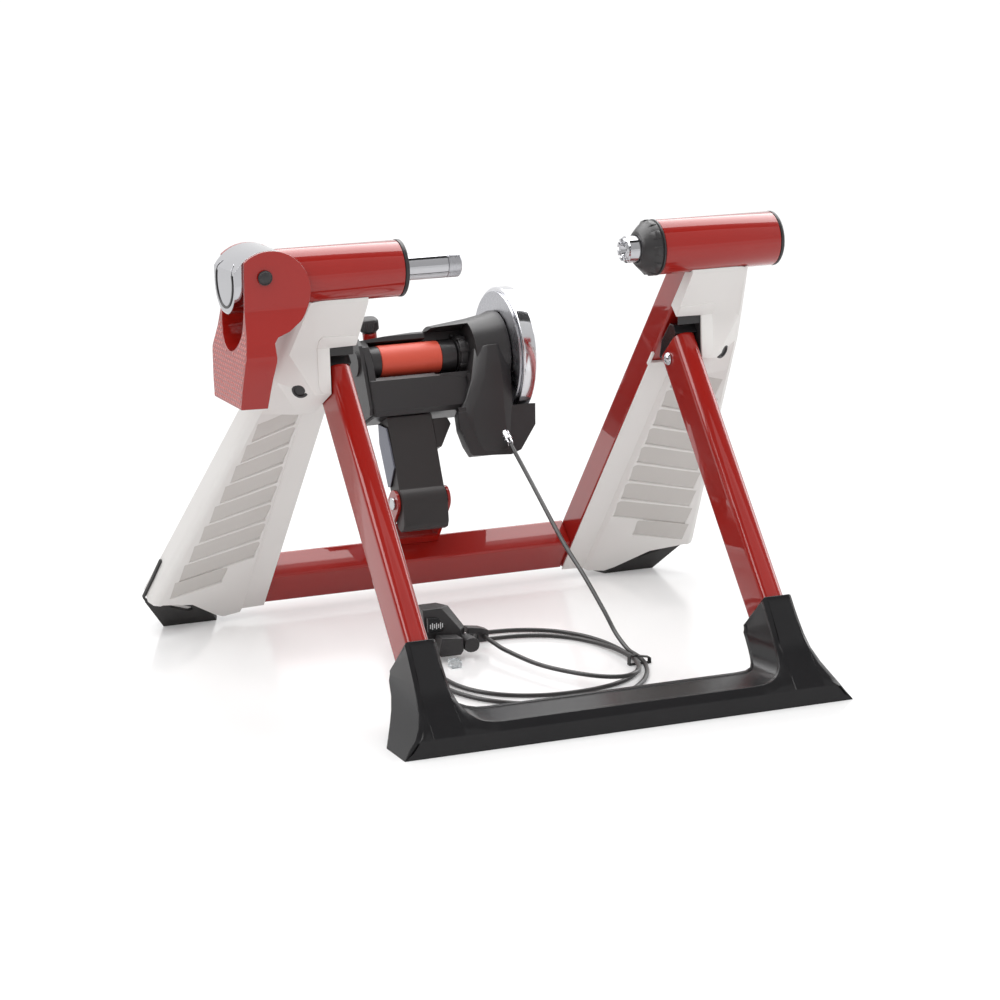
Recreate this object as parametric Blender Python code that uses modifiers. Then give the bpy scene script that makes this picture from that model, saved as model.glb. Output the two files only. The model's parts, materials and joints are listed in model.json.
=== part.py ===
"""A folding bicycle trainer with a magnetic resistance unit, in metres, +Z up.

The working frame has X along the axle line (left to right), Y to the rear and Z up, with X = 0 on the
wheel plane and Y = 0 under the axle line. One root empty shifts everything so that the origin is the
middle of the base.
"""

import math

import bmesh
import bpy
import numpy as np
from mathutils import Matrix, Vector

# Shift from the working frame to the delivered one.
ROOT_SHIFT = (0.0, -0.0827, 0.0)
GAP = 0.0003

# Axle line, barrels and clamp.
AXLE_Z = 0.3811
BARREL_R = 0.025
BARREL_WALL = 0.0025
BARREL_IN = 0.1263
BARREL_OUT = 0.2424
SHAFT_R = 0.01175
LEVER_PIN_X = -0.2590
LEVER_PIN_Z = 0.3870
CHEEK_IN = 0.0285
CHEEK_OUT = 0.0325

# Rear legs, measured down the leg from the axle line and square to it.
LEG_ANGLE = math.radians(40.7)
LEG_X = (0.1600, 0.1850)
LEG_N = (-0.0165, 0.0145)
LEG_DOWN = (0.0080, 0.4745)
LEG_WALL = 0.002
CROSS_DOWN = (0.4348, 0.4780)
CROSS_N = (-0.0175, 0.0125)
COVER_WALL = 0.0024
RIB_PITCH = 0.029
RIB_DEPTH = 0.0022
RIB_COUNT = 9

# Front tubes.
TUBE_ANGLE = math.radians(40.26)
FOLD_Y = 0.0430
FOLD_Z = 0.2685
TUBE_X = (0.1600, 0.1814)
TUBE_HALF_DEPTH = 0.02275
TUBE_AXIS_Q = 0.006
TUBE_END = 0.318

# Resistance unit, measured up its lean from the pivot pin.
UNIT_ANGLE = math.radians(23.5)
UNIT_Y = 0.2630
UNIT_Z = 0.1058
ROLLER_UP = 0.1429
ROLLER_R = 0.0162
FLYWHEEL_R = 0.0645

# Cable.
CABLE_R = 0.0021
CABLE_FLOOR = 0.0025

RED = ((0.45, 0.012, 0.018), 0.22, 0.35)
WHITE = ((0.78, 0.76, 0.74), 0.35, 0.0)
BLACK = ((0.035, 0.033, 0.033), 0.5, 0.0)
GLOSS_BLACK = ((0.015, 0.014, 0.015), 0.2, 0.0)
RUBBER = ((0.03, 0.028, 0.028), 0.75, 0.0)
CHROME = ((0.82, 0.82, 0.84), 0.08, 1.0)
STEEL = ((0.55, 0.55, 0.57), 0.3, 1.0)
ORANGE = ((0.72, 0.09, 0.05), 0.45, 0.0)
BLUE_GREY = ((0.33, 0.34, 0.38), 0.4, 0.8)
CLEAR = ((0.85, 0.87, 0.88), 0.15, 0.0)

PARTS = None
CUTTERS = None
BODIES = {}


# Scene and frames.
def clear_scene():
    for old in list(bpy.data.objects):
        bpy.data.objects.remove(old, do_unlink=True)


def frame_of(x_axis, y_axis, z_axis, origin):
    """The matrix that carries local x, y, z onto these three directions from this origin."""
    columns = Matrix((x_axis, y_axis, z_axis)).transposed().to_4x4()
    return Matrix.Translation(origin) @ columns


LEG_DIR = (0.0, math.sin(LEG_ANGLE), -math.cos(LEG_ANGLE))
LEG_FRONT = (0.0, -math.cos(LEG_ANGLE), -math.sin(LEG_ANGLE))
LEG = frame_of((1, 0, 0), LEG_FRONT, LEG_DIR, (0, 0, AXLE_Z))
LEG_FACE = frame_of((1, 0, 0), LEG_DIR, LEG_FRONT, (0, 0, AXLE_Z))
LEG_SIDE = frame_of(LEG_FRONT, LEG_DIR, (1, 0, 0), (0, 0, AXLE_Z))

TUBE_DIR = (0.0, -math.sin(TUBE_ANGLE), -math.cos(TUBE_ANGLE))
TUBE_FRONT = (0.0, -math.cos(TUBE_ANGLE), math.sin(TUBE_ANGLE))
TUBE = frame_of((1, 0, 0), TUBE_FRONT, TUBE_DIR, (0, FOLD_Y, FOLD_Z))
TUBE_SIDE = frame_of(TUBE_FRONT, TUBE_DIR, (1, 0, 0), (0, FOLD_Y, FOLD_Z))

UNIT_UP = (0.0, math.sin(UNIT_ANGLE), math.cos(UNIT_ANGLE))
UNIT_FRONT = (0.0, -math.cos(UNIT_ANGLE), math.sin(UNIT_ANGLE))
UNIT = frame_of((1, 0, 0), UNIT_FRONT, UNIT_UP, (0, UNIT_Y, UNIT_Z))
UNIT_SIDE = frame_of(UNIT_FRONT, UNIT_UP, (1, 0, 0), (0, UNIT_Y, UNIT_Z))
UNIT_FACE = frame_of((1, 0, 0), UNIT_UP, UNIT_FRONT, (0, UNIT_Y, UNIT_Z))
ROLLER_SIDE = UNIT_SIDE @ Matrix.Translation((0, ROLLER_UP, 0))
ROLLER_FRAME = UNIT @ Matrix.Translation((0, 0, ROLLER_UP))

# Plan frames: outline in Y-Z run along X, in X-Z run along Y, and in X-Y run up Z.
ALONG_X = frame_of((0, 1, 0), (0, 0, 1), (1, 0, 0), (0, 0, 0))
ALONG_Y = frame_of((1, 0, 0), (0, 0, 1), (0, 1, 0), (0, 0, 0))
WORLD = Matrix.Identity(4)


def axis_x(y, z):
    """Local Z along world X, through this point: the frame for a turned piece on an X axis."""
    return frame_of((0, 1, 0), (0, 0, 1), (1, 0, 0), (0, y, z))


def axis_y(x, z):
    return frame_of((0, 0, 1), (1, 0, 0), (0, 1, 0), (x, 0, z))


AXLE = axis_x(0, AXLE_Z)


# Meshes.
def settled(mesh, frame):
    """The mesh moved into this frame, welded, with its normals facing out."""
    bm = bmesh.new()
    bm.from_mesh(mesh)
    bmesh.ops.transform(bm, matrix=frame, verts=bm.verts)
    bmesh.ops.remove_doubles(bm, verts=bm.verts, dist=1e-6)
    bmesh.ops.recalc_face_normals(bm, faces=bm.faces)
    bm.to_mesh(mesh)
    bm.free()
    return mesh


def box(low, high, frame=WORLD):
    """A cube primitive scaled to these two corners."""
    bm = bmesh.new()
    bmesh.ops.create_cube(bm, size=1.0)
    size = Vector(high) - Vector(low)
    middle = (Vector(high) + Vector(low)) / 2
    bmesh.ops.scale(bm, vec=size, verts=bm.verts)
    bmesh.ops.translate(bm, vec=middle, verts=bm.verts)
    mesh = bpy.data.meshes.new("box")
    bm.to_mesh(mesh)
    bm.free()
    return settled(mesh, frame)


def hexa(near, far, frame=WORLD):
    """A cube primitive with its eight corners moved: four near ones in a ring, then the four far ones."""
    bm = bmesh.new()
    bmesh.ops.create_cube(bm, size=1.0)
    ring = ((-1, -1), (1, -1), (1, 1), (-1, 1))
    spots = {}
    for (x, y), a, b in zip(ring, near, far):
        spots[x, y, -1] = a
        spots[x, y, 1] = b
    for vert in bm.verts:
        key = tuple(1 if c > 0 else -1 for c in vert.co)
        vert.co = spots[key]
    bmesh.ops.triangulate(bm, faces=bm.faces)
    mesh = bpy.data.meshes.new("hexa")
    bm.to_mesh(mesh)
    bm.free()
    return settled(mesh, frame)


def rod(start, end, radius, sides=24, end_radius=None):
    """A cylinder or cone primitive between two points."""
    start, end = Vector(start), Vector(end)
    run = end - start
    bm = bmesh.new()
    bmesh.ops.create_cone(bm, cap_ends=True, segments=sides, radius1=radius,
                          radius2=radius if end_radius is None else end_radius, depth=run.length)
    mesh = bpy.data.meshes.new("rod")
    bm.to_mesh(mesh)
    bm.free()
    turn = run.to_track_quat("Z", "Y").to_matrix().to_4x4()
    return settled(mesh, Matrix.Translation((start + end) / 2) @ turn)


def from_curve(curve, frame):
    holder = bpy.data.objects.new("curve", curve)
    bpy.context.scene.collection.objects.link(holder)
    graph = bpy.context.evaluated_depsgraph_get()
    mesh = bpy.data.meshes.new_from_object(holder.evaluated_get(graph))
    bpy.data.objects.remove(holder)
    return settled(mesh, frame)


def extruded(outline, low, high, frame):
    """A filled 2D curve of this outline, run from low to high along the frame's third axis."""
    curve = bpy.data.curves.new("outline", "CURVE")
    curve.dimensions = "2D"
    curve.fill_mode = "BOTH"
    curve.extrude = (high - low) / 2
    spline = curve.splines.new("POLY")
    spline.points.add(len(outline) - 1)
    for point, (u, v) in zip(spline.points, outline):
        point.co = (u, v, 0, 1)
    spline.use_cyclic_u = True
    return from_curve(curve, frame @ Matrix.Translation((0, 0, (low + high) / 2)))


def turned(profile, frame, steps=32, closed=False):
    """A Screw of this (radius, along) profile, which runs down the outer side."""
    mesh = bpy.data.meshes.new("profile")
    count = len(profile)
    edges = [(i, i + 1) for i in range(count - 1)] + ([(count - 1, 0)] if closed else [])
    mesh.from_pydata([(r, 0, z) for r, z in profile], edges, [])
    holder = bpy.data.objects.new("profile", mesh)
    bpy.context.scene.collection.objects.link(holder)
    screw = holder.modifiers.new("Screw", "SCREW")
    screw.steps = screw.render_steps = steps
    screw.use_merge_vertices = True
    screw.merge_threshold = 1e-5
    graph = bpy.context.evaluated_depsgraph_get()
    made = bpy.data.meshes.new_from_object(holder.evaluated_get(graph))
    bpy.data.objects.remove(holder)
    return settled(made, frame)


def loft(sections, frame=WORLD):
    """A solid through rings of points with the same count, capped at both ends."""
    bm = bmesh.new()
    rings = [[bm.verts.new(point) for point in section] for section in sections]
    count = len(rings[0])
    for ring, following in zip(rings, rings[1:]):
        for i in range(count):
            j = (i + 1) % count
            bm.faces.new((ring[i], ring[j], following[j], following[i]))
    bm.faces.new(rings[0][::-1])
    bm.faces.new(rings[-1])
    bmesh.ops.triangulate(bm, faces=bm.faces)
    mesh = bpy.data.meshes.new("loft")
    bm.to_mesh(mesh)
    bm.free()
    return settled(mesh, frame)


def tube(points, radius, resolution=2):
    """A wound POLY spline with round section and filled caps."""
    curve = bpy.data.curves.new("cable", "CURVE")
    curve.dimensions = "3D"
    curve.bevel_depth = radius
    curve.bevel_resolution = resolution
    curve.use_fill_caps = True
    spline = curve.splines.new("POLY")
    spline.points.add(len(points) - 1)
    for point, place in zip(spline.points, points):
        point.co = (*place, 1)
    return from_curve(curve, WORLD)


def arc(centre, radius, start, end, steps):
    """Points of an arc, angles in degrees."""
    angles = np.radians(np.linspace(start, end, steps + 1))
    return [(centre[0] + radius * math.cos(a), centre[1] + radius * math.sin(a)) for a in angles]


def rounded(low, high, radius, steps=3):
    """A rectangle outline with round corners."""
    (u0, v0), (u1, v1) = low, high
    corners = ((u1 - radius, v1 - radius, 0), (u0 + radius, v1 - radius, 90),
               (u0 + radius, v0 + radius, 180), (u1 - radius, v0 + radius, 270))
    return [p for u, v, a in corners for p in arc((u, v), radius, a, a + 90, steps)]


# Objects.
def add_body(name, point, parent=None):
    """An empty on this body's joint axis."""
    empty = bpy.data.objects.new("body_" + name, None)
    empty.empty_display_size = 0.02
    bpy.context.scene.collection.objects.link(empty)
    origin = Vector(point)
    if parent:
        empty.parent = BODIES[parent][0]
        empty.location = origin - BODIES[parent][1]
    else:
        empty.location = Vector(ROOT_SHIFT)
    BODIES[name] = (empty, origin)


def piece(name, mesh, body, finish, smooth=30.0):
    """One named sub-part on its body, with its own material."""
    colour, roughness, metallic = finish
    made = bpy.data.materials.new(name + "_finish")
    made.use_nodes = True
    shader = made.node_tree.nodes["Principled BSDF"]
    shader.inputs["Base Color"].default_value = (*colour, 1)
    shader.inputs["Roughness"].default_value = roughness
    shader.inputs["Metallic"].default_value = metallic
    mesh.name = name
    mesh.materials.clear()
    mesh.materials.append(made)
    for polygon in mesh.polygons:
        polygon.use_smooth = True
    mesh.set_sharp_from_angle(angle=math.radians(smooth))
    made_object = bpy.data.objects.new(name, mesh)
    PARTS.objects.link(made_object)
    empty, origin = BODIES[body]
    made_object.parent = empty
    made_object.location = -origin
    return made_object


def shape_with(target, mesh, operation):
    """A Boolean of the target with this mesh, which is kept as a cutter in its own collection."""
    cutter = bpy.data.objects.new(f"{target.name}_{operation.lower()}_{len(target.modifiers)}", mesh)
    CUTTERS.objects.link(cutter)
    cutter.parent = target.parent
    cutter.location = target.location
    cutter.hide_render = True
    cutter.display_type = "WIRE"
    modifier = target.modifiers.new(operation.title(), "BOOLEAN")
    modifier.operation = operation
    modifier.solver = "EXACT"
    modifier.object = cutter


def cut(target, *meshes):
    for mesh in meshes:
        shape_with(target, mesh, "DIFFERENCE")


def join(target, *meshes):
    for mesh in meshes:
        shape_with(target, mesh, "UNION")


def keep(target, *meshes):
    for mesh in meshes:
        shape_with(target, mesh, "INTERSECT")


def left_twin(mesh):
    """This mesh reflected across the wheel plane, with its faces still outward."""
    twin = mesh.copy()
    bm = bmesh.new()
    bm.from_mesh(twin)
    bmesh.ops.scale(bm, vec=(-1, 1, 1), verts=bm.verts)
    bmesh.ops.reverse_faces(bm, faces=bm.faces)
    bm.to_mesh(twin)
    bm.free()
    return twin


def mirrored(source, name, finish):
    """The evaluated right-hand piece turned into its left-hand twin."""
    graph = bpy.context.evaluated_depsgraph_get()
    mesh = bpy.data.meshes.new_from_object(source.evaluated_get(graph))
    body = next(key for key, (empty, _) in BODIES.items() if empty == source.parent)
    return piece(name, left_twin(mesh), body, finish)


# Rear frame.
def rear_legs():
    (x0, x1), (n0, n1), (d0, d1) = LEG_X, LEG_N, LEG_DOWN
    leg = piece("rear_leg_right", extruded(rounded((x0, n0), (x1, n1), 0.003), d0, d1, LEG), "rear_frame", RED)
    inner = rounded((x0 + LEG_WALL, n0 + LEG_WALL), (x1 - LEG_WALL, n1 - LEG_WALL), 0.0015, 1)
    cut(leg, extruded(inner, d0 - 0.01, d1 + 0.01, LEG))
    cut(leg, rod((0.10, 0, AXLE_Z), (0.26, 0, AXLE_Z), BARREL_R + GAP, 48))
    mirrored(leg, "rear_leg_left", RED)


def crossbar():
    (n0, n1), (d0, d1) = CROSS_N, CROSS_DOWN
    half = LEG_X[0] - GAP
    outer = rounded((n0, d0), (n1, d1), 0.003)
    bar = piece("crossbar", extruded(outer, -half, half, LEG_SIDE), "rear_frame", RED)
    inner = rounded((n0 + LEG_WALL, d0 + LEG_WALL), (n1 - LEG_WALL, d1 - LEG_WALL), 0.0015, 1)
    cut(bar, extruded(inner, -half - 0.01, half + 0.01, LEG_SIDE))


def barrels():
    inner = BARREL_R - BARREL_WALL
    for name, side in (("barrel_right", 1), ("barrel_left", -1)):
        ends = sorted((side * BARREL_IN, side * BARREL_OUT))
        profile = [(BARREL_R, ends[1]), (BARREL_R, ends[0]), (inner, ends[0]), (inner, ends[1])]
        piece(name, turned(profile, AXLE, 48, True), "rear_frame", RED)
    spigot = inner - GAP
    ring = [(BARREL_R + 0.0004, -0.1225), (BARREL_R + 0.0004, -0.1260), (spigot, -0.1260), (spigot, -0.1355),
            (SHAFT_R + GAP, -0.1355), (SHAFT_R + GAP, -0.1225)]
    piece("barrel_ring_left", turned(ring, AXLE, 32, True), "rear_frame", BLACK)
    bush = [(spigot, -0.1700), (spigot, -0.2000), (SHAFT_R + GAP, -0.2000), (SHAFT_R + GAP, -0.1700)]
    piece("shaft_bush_left", turned(bush, AXLE, 32, True), "rear_frame", STEEL)
    nut = [(spigot, 0.1800), (spigot, 0.1500), (0.0083, 0.1500), (0.0083, 0.1800)]
    piece("adjuster_bush", turned(nut, AXLE, 32, True), "rear_frame", STEEL)
    cap = [(0, 0.2475), (0.0205, 0.2475), (0.0235, 0.2465), (0.0252, 0.2450), (0.0252, 0.2427),
           (spigot, 0.2427), (spigot, 0.2350), (0, 0.2350)]
    piece("barrel_cap_right", turned(cap, AXLE, 32), "rear_frame", BLACK)


def outer_x(down):
    """The flared outer edge of a leg cover."""
    return 0.2150 + 0.1720 * down


def corner_x(down):
    """Where the ribbed face ends and the smooth outer corner begins."""
    return min(0.2103 + 0.1605 * down, outer_x(down) - 0.0040)


def outer_n(down):
    """How far forward the cover's corner stands: low at the top, full by the first rib."""
    return float(np.interp(down, (0.008, 0.0668, 0.1010), (0.0258, 0.0330, 0.0360)))


def cover_section(down, back, inset=0.0):
    """Section of a cover square to the leg, in x, n and down; an inset one is its hollow."""
    edge, corner, front = outer_x(down) - inset, corner_x(down), outer_n(down) - inset
    if inset:
        near = [(0.1500, back), (0.1500, 0.0149), (0.1600, 0.0149), (0.1842, 0.0149), (0.1885, 0.0182)]
        corner -= 0.0010
    else:
        near = [(0.1600, back), (0.1600, 0.0163), (0.1830, 0.0172), (0.1860, 0.0210)]
    turn = [(corner, front), (corner + 0.6 * (edge - corner), front - 0.0024), (edge, front - 0.0080)]
    turn.append((edge, back))
    return [(x, n, down) for x, n in near + turn]


def leg_point(x, n, down):
    return tuple(LEG @ Vector((x, n, down)))


def hood():
    """The moulded block under the barrel, through three sections across the leg."""
    profile = [(-0.0131, 0.3554), (0.0215, 0.3115), (0.0200, 0.2700), (0.0696, 0.2440)]
    back = 0.0135
    profile += [leg_point(0, back, 0.150)[1:], leg_point(0, back, -0.005)[1:]]
    sections = [[(x, y, z) for y, z in profile] for x in (0.1575, 0.1980)]
    edge = [(0.0110, 1), (0.0668, 1), (0.1010, 1), (0.1450, 1), (0.150, 0), (-0.005, 0)]
    sections.append([leg_point(corner_x(down) + 0.0008, outer_n(down) - 0.0006 if front else back, down)
                     for down, front in edge])
    return loft(sections)


def hood_hollow():
    profile = [(-0.0095, 0.3535), (0.0239, 0.3115), (0.0225, 0.2716), (0.0705, 0.2470)]
    profile += [leg_point(0, -0.045, 0.146)[1:], leg_point(0, -0.045, -0.002)[1:]]
    return extruded(profile, 0.1598, 0.1972, ALONG_X)


def face_n(x, down):
    """The ribbed face's height over the leg."""
    return 0.0210 + 0.0150 * (x - 0.1860) / (corner_x(down) - 0.1860)


def rib_cutter(index):
    """The wedge that sinks one rib panel: flush at its upper line, deepest at its lower one."""
    top = 0.1550 + index * RIB_PITCH
    inner = 0.1868 if index < RIB_COUNT - 1 else 0.2150
    slope = math.tan(math.radians(5.5))
    outer = corner_x(top) - 0.0015
    ends = []
    for x, shallow in ((inner, 1.0), (outer, 0.35)):
        d0 = top + slope * (x - inner)
        d1 = d0 + RIB_PITCH - 0.0016
        ends.append([(x, face_n(x, d0) + 0.0004, d0), (x, face_n(x, d1) - RIB_DEPTH * shallow, d1),
                     (x, face_n(x, d1) + 0.0060, d1 + 0.0012), (x, face_n(x, d0) + 0.0060, d0)])
    ends[0][1] = (inner + 0.0030, ends[0][1][1], ends[0][1][2])
    return hexa(ends[0], ends[1], LEG)


def leg_covers():
    # The ribbed face twists, so its sections stand close.
    along = [0.1450 + 0.0375 * k for k in range(10)]
    stops = [0.008, 0.0668, 0.1010, *along, 0.500]
    solid = loft([cover_section(down, 0.0120) for down in stops], LEG)
    cover = piece("leg_cover_right", solid, "rear_frame", WHITE)
    join(cover, hood())
    stops = [-0.012, 0.0705, 0.1050, *along, 0.520]
    cut(cover, loft([cover_section(down, -0.055, COVER_WALL) for down in stops], LEG), hood_hollow())
    cut(cover, box((0.1400, -0.0500, -0.0200), (0.1853, 0.0148, 0.5200), LEG))
    cut(cover, box((0.1500, 0.0140, 0.0668), (0.1826, 0.1000, 0.1335), LEG))
    # Below the notch the hood stays clear of the tube's way as it folds.
    cut(cover, box((0.1500, 0.0174, 0.1300), (0.1826, 0.1000, 0.1540), LEG))
    cut(cover, rod((0.10, 0, AXLE_Z), (0.27, 0, AXLE_Z), BARREL_R + GAP, 48))
    for index in range(RIB_COUNT):
        cut(cover, rib_cutter(index))
    below = [(0.14, 0.4755), (0.2040, 0.4755), (0.2135, 0.4690), (0.2432, 0.4405), (0.2760, 0.4278),
             (0.2900, 0.4300), (0.32, 0.4310), (0.32, 0.56), (0.14, 0.56)]
    cut(cover, extruded(below, -0.08, 0.08, LEG_FACE))
    cut(cover, rod(PLUG_AT - PLUG_AXIS * 0.012, PLUG_AT + PLUG_AXIS * 0.012, 0.0052, 16))
    mirrored(cover, "leg_cover_left", WHITE)


PLUG_AT = Vector((0.2075, 0.0310, 0.2760))
PLUG_AXIS = Vector((0.50, -0.80, -0.33)).normalized()


def cover_plugs():
    start = PLUG_AT - PLUG_AXIS * 0.0075
    plug = piece("cover_plug_right", rod(start, PLUG_AT + PLUG_AXIS * 0.0012, 0.0049, 16), "rear_frame", BLACK)
    mirrored(plug, "cover_plug_left", BLACK)


def rear_feet():
    front = [(0.1945, 0.5180), (0.2040, 0.4925), (0.2150, 0.4725), (0.2438, 0.4437), (0.2764, 0.4312),
             (0.2815, 0.4318), (0.2891, 0.4387), (0.2608, 0.4871), (0.2430, 0.5180)]
    rear = [(0.2600, 0.4370), (0.2640, 0.4380), (0.2690, 0.4470), (0.2530, 0.4871), (0.2400, 0.5180)]
    rear = front[:4] + rear
    solid = loft([[(x, -0.0100, d) for x, d in rear], [(x, 0.0215, d) for x, d in front]], LEG)
    foot = piece("rear_foot_right", solid, "rear_frame", RUBBER)
    trim = []
    for down, forward in ((0.3800, 0.0150), (0.4050, 0.0170), (0.4325, 0.0182), (0.4440, 0.0180)):
        start = outer_x(down) + 0.0004 if down < 0.44 else 0.2835
        ring = ((0.0, 0.0), (0.0022, 0.0), (0.0022, 0.0030), (0.0, 0.0030))
        trim.append([(start + u, forward + v, down) for u, v in ring])
    join(foot, loft(trim, LEG), box((0.1857, -0.009, 0.4480), (0.2300, 0.011, 0.4740), LEG))
    hole = [(0.2655, 0.4488), (0.2520, 0.4500), (0.2400, 0.4560), (0.2368, 0.4610), (0.2415, 0.4628),
            (0.2600, 0.4536)]
    cut(foot, extruded(hole, -0.05, 0.05, LEG_FACE), box((0.15, 0.2, -0.05), (0.32, 0.42, 0.0)))
    mirrored(foot, "rear_foot_left", RUBBER)


def fold_brackets():
    front = LEG_N[1] + GAP
    reach = 0.0408 - front
    centre = 0.1134
    nose = arc((front + reach, centre), 0.011, -90, 90, 10)
    outline = [(front, centre - 0.013)] + nose + [(front, centre + 0.013)]
    tongue = piece("fold_bracket_right", extruded(outline, 0.1660, 0.1760, LEG_SIDE), "rear_frame", RED)
    cut(tongue, rod((0.15, FOLD_Y, FOLD_Z), (0.19, FOLD_Y, FOLD_Z), 0.0043, 16))
    mirrored(tongue, "fold_bracket_left", RED)


def unit_bracket():
    base = CROSS_DOWN[0] - GAP
    low, high = -0.0342, 0.0215
    sheet = 0.003
    pin_n, pin_down, round_r = -0.0208, 0.3799, 0.0122
    ear = [(-0.0324, base), (pin_n - round_r, pin_down)] + arc((pin_n, pin_down), round_r, 180, 360, 14)[1:]
    ear += [(-0.0080, base)]
    made = piece("unit_bracket", extruded(ear, low, low + sheet, LEG_SIDE), "rear_frame", RED)
    join(made, extruded(ear, high - sheet, high, LEG_SIDE))
    join(made, box((low + 0.001, -0.0323, base - sheet), (high - 0.001, -0.0081, base), LEG))
    join(made, box((low + 0.001, -0.0109, base - 0.010), (high - 0.001, -0.0081, base - 0.001), LEG))
    join(made, box((low + 0.001, -0.0208, base - 0.002), (high - 0.001, -0.0178, base + 0.036), LEG))
    cut(made, rod((-0.06, UNIT_Y, UNIT_Z), (0.06, UNIT_Y, UNIT_Z), 0.0043, 16))
    left, right, head = low - GAP, high + GAP, 0.0020
    pin = [(0, right + head), (0.0062, right + head), (0.0062, right), (0.0040, right), (0.0040, left),
           (0.0062, left), (0.0062, left - head), (0, left - head)]
    piece("unit_pivot_pin", turned(pin, axis_x(UNIT_Y, UNIT_Z), 20), "rear_frame", CHROME)


# Front frame.
def stadium(inset):
    """The flat-oval section of a front tube in x and q."""
    x0, x1 = TUBE_X[0] + inset, TUBE_X[1] - inset
    q0 = TUBE_AXIS_Q - TUBE_HALF_DEPTH + inset
    q1 = TUBE_AXIS_Q + TUBE_HALF_DEPTH - inset
    front, rear = 0.0085 - inset * 0.5, 0.0060 - inset * 0.5
    return (arc((x1 - front, q1 - front), front, 0, 90, 4) + arc((x0 + front, q1 - front), front, 90, 180, 4)
            + arc((x0 + rear, q0 + rear), rear, 180, 270, 4) + arc((x1 - rear, q0 + rear), rear, 270, 360, 4))


def front_tubes():
    slot = box((0.1650, -0.05, -0.05), (0.1770, 0.0125, 0.0128), TUBE)
    hole = rod((0.15, FOLD_Y, FOLD_Z), (0.19, FOLD_Y, FOLD_Z), 0.0043, 16)
    tube_right = piece("front_tube_right", extruded(stadium(0.0), -0.0100, TUBE_END, TUBE), "front_frame", RED)
    cut(tube_right, extruded(stadium(0.002), -0.02, TUBE_END + 0.01, TUBE), slot, hole)
    mirrored(tube_right, "front_tube_left", RED)
    side = [(-0.0165, -0.0103), (-0.0165, -0.0125), (-0.0020, -0.0215), (0.0235, -0.0240), (0.0286, -0.0190),
            (0.0286, -0.0103)]
    cap = piece("tube_cap_right", extruded(side, TUBE_X[0], TUBE_X[1], TUBE_SIDE), "front_frame", GLOSS_BLACK)
    join(cap, extruded(stadium(0.0024), -0.0110, 0.0080, TUBE))
    cut(cap, box((0.1644, -0.05, -0.05), (0.1776, 0.0131, 0.0134), TUBE))
    cut(cap, rod((0.15, FOLD_Y, FOLD_Z), (0.19, FOLD_Y, FOLD_Z), 0.0047, 16))
    mirrored(cap, "tube_cap_left", GLOSS_BLACK)
    bolt_profile = [(0, 0.1810), (0.0040, 0.1810), (0.0040, 0.1597), (0.0060, 0.1597), (0.0060, 0.1587),
                    (0.0050, 0.1570), (0.0028, 0.1560), (0, 0.1557)]
    bolt = piece("fold_bolt_right", turned(bolt_profile, axis_x(FOLD_Y, FOLD_Z), 20), "front_frame", CHROME)
    mirrored(bolt, "fold_bolt_left", CHROME)


# A foot sleeve: how far down the tube its rim is, and its level sections as inner, outer, front, rear
# and height.
SLEEVE_RIM = 0.2688
SLEEVE_LEVELS = ((0.1570, 0.1868, -0.1865, -0.1185, 0.0440),
                 (0.1530, 0.2010, -0.2178, -0.1550, 0.0155),
                 (0.1480, 0.2125, -0.2190, -0.1760, 0.0))


def front_foot():
    bar = [(-0.2190, 0.0), (-0.2178, 0.0150), (-0.2110, 0.0215), (-0.1760, 0.0250), (-0.1705, 0.0210),
           (-0.1700, 0.0)]
    foot = piece("front_foot", extruded(bar, -0.150, 0.150, ALONG_X), "front_frame", GLOSS_BLACK)
    rim = rounded((0.1567, -0.0203), (0.1852, 0.0322), 0.008, 2)
    rim = [tuple(TUBE @ Vector((x, q, SLEEVE_RIM))) for x, q in rim]
    # The rim's rear lies lower than its front, and the level sections below keep its order of points.
    order = rounded((0.0, 0.0), (1.0, 1.0), 0.28, 2)
    levels = []
    for inner, outer, front, rear, z in SLEEVE_LEVELS:
        levels.append([(inner + u * (outer - inner), rear + v * (front - rear), z) for u, v in order])
    sleeve = loft([rim] + levels)
    join(foot, sleeve, left_twin(sleeve))
    for side in (1, -1):
        fillet = [(0.1300, 0.0010), (0.1300, 0.0195), (0.1440, 0.0225), (0.1520, 0.0290), (0.1572, 0.0400),
                  (0.1600, 0.0400), (0.1600, 0.0010)]
        near = [(side * x, -0.2176 + max(z - 0.0155, 0) * 1.09, z) for x, z in fillet]
        far = [(side * x, -0.1725 + z * 1.10, z) for x, z in fillet]
        join(foot, loft([near, far]))
        clear = [(side * x, q) for x, q in stadium(-GAP)]
        cut(foot, extruded(clear, 0.22, TUBE_END + GAP, TUBE))


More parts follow.
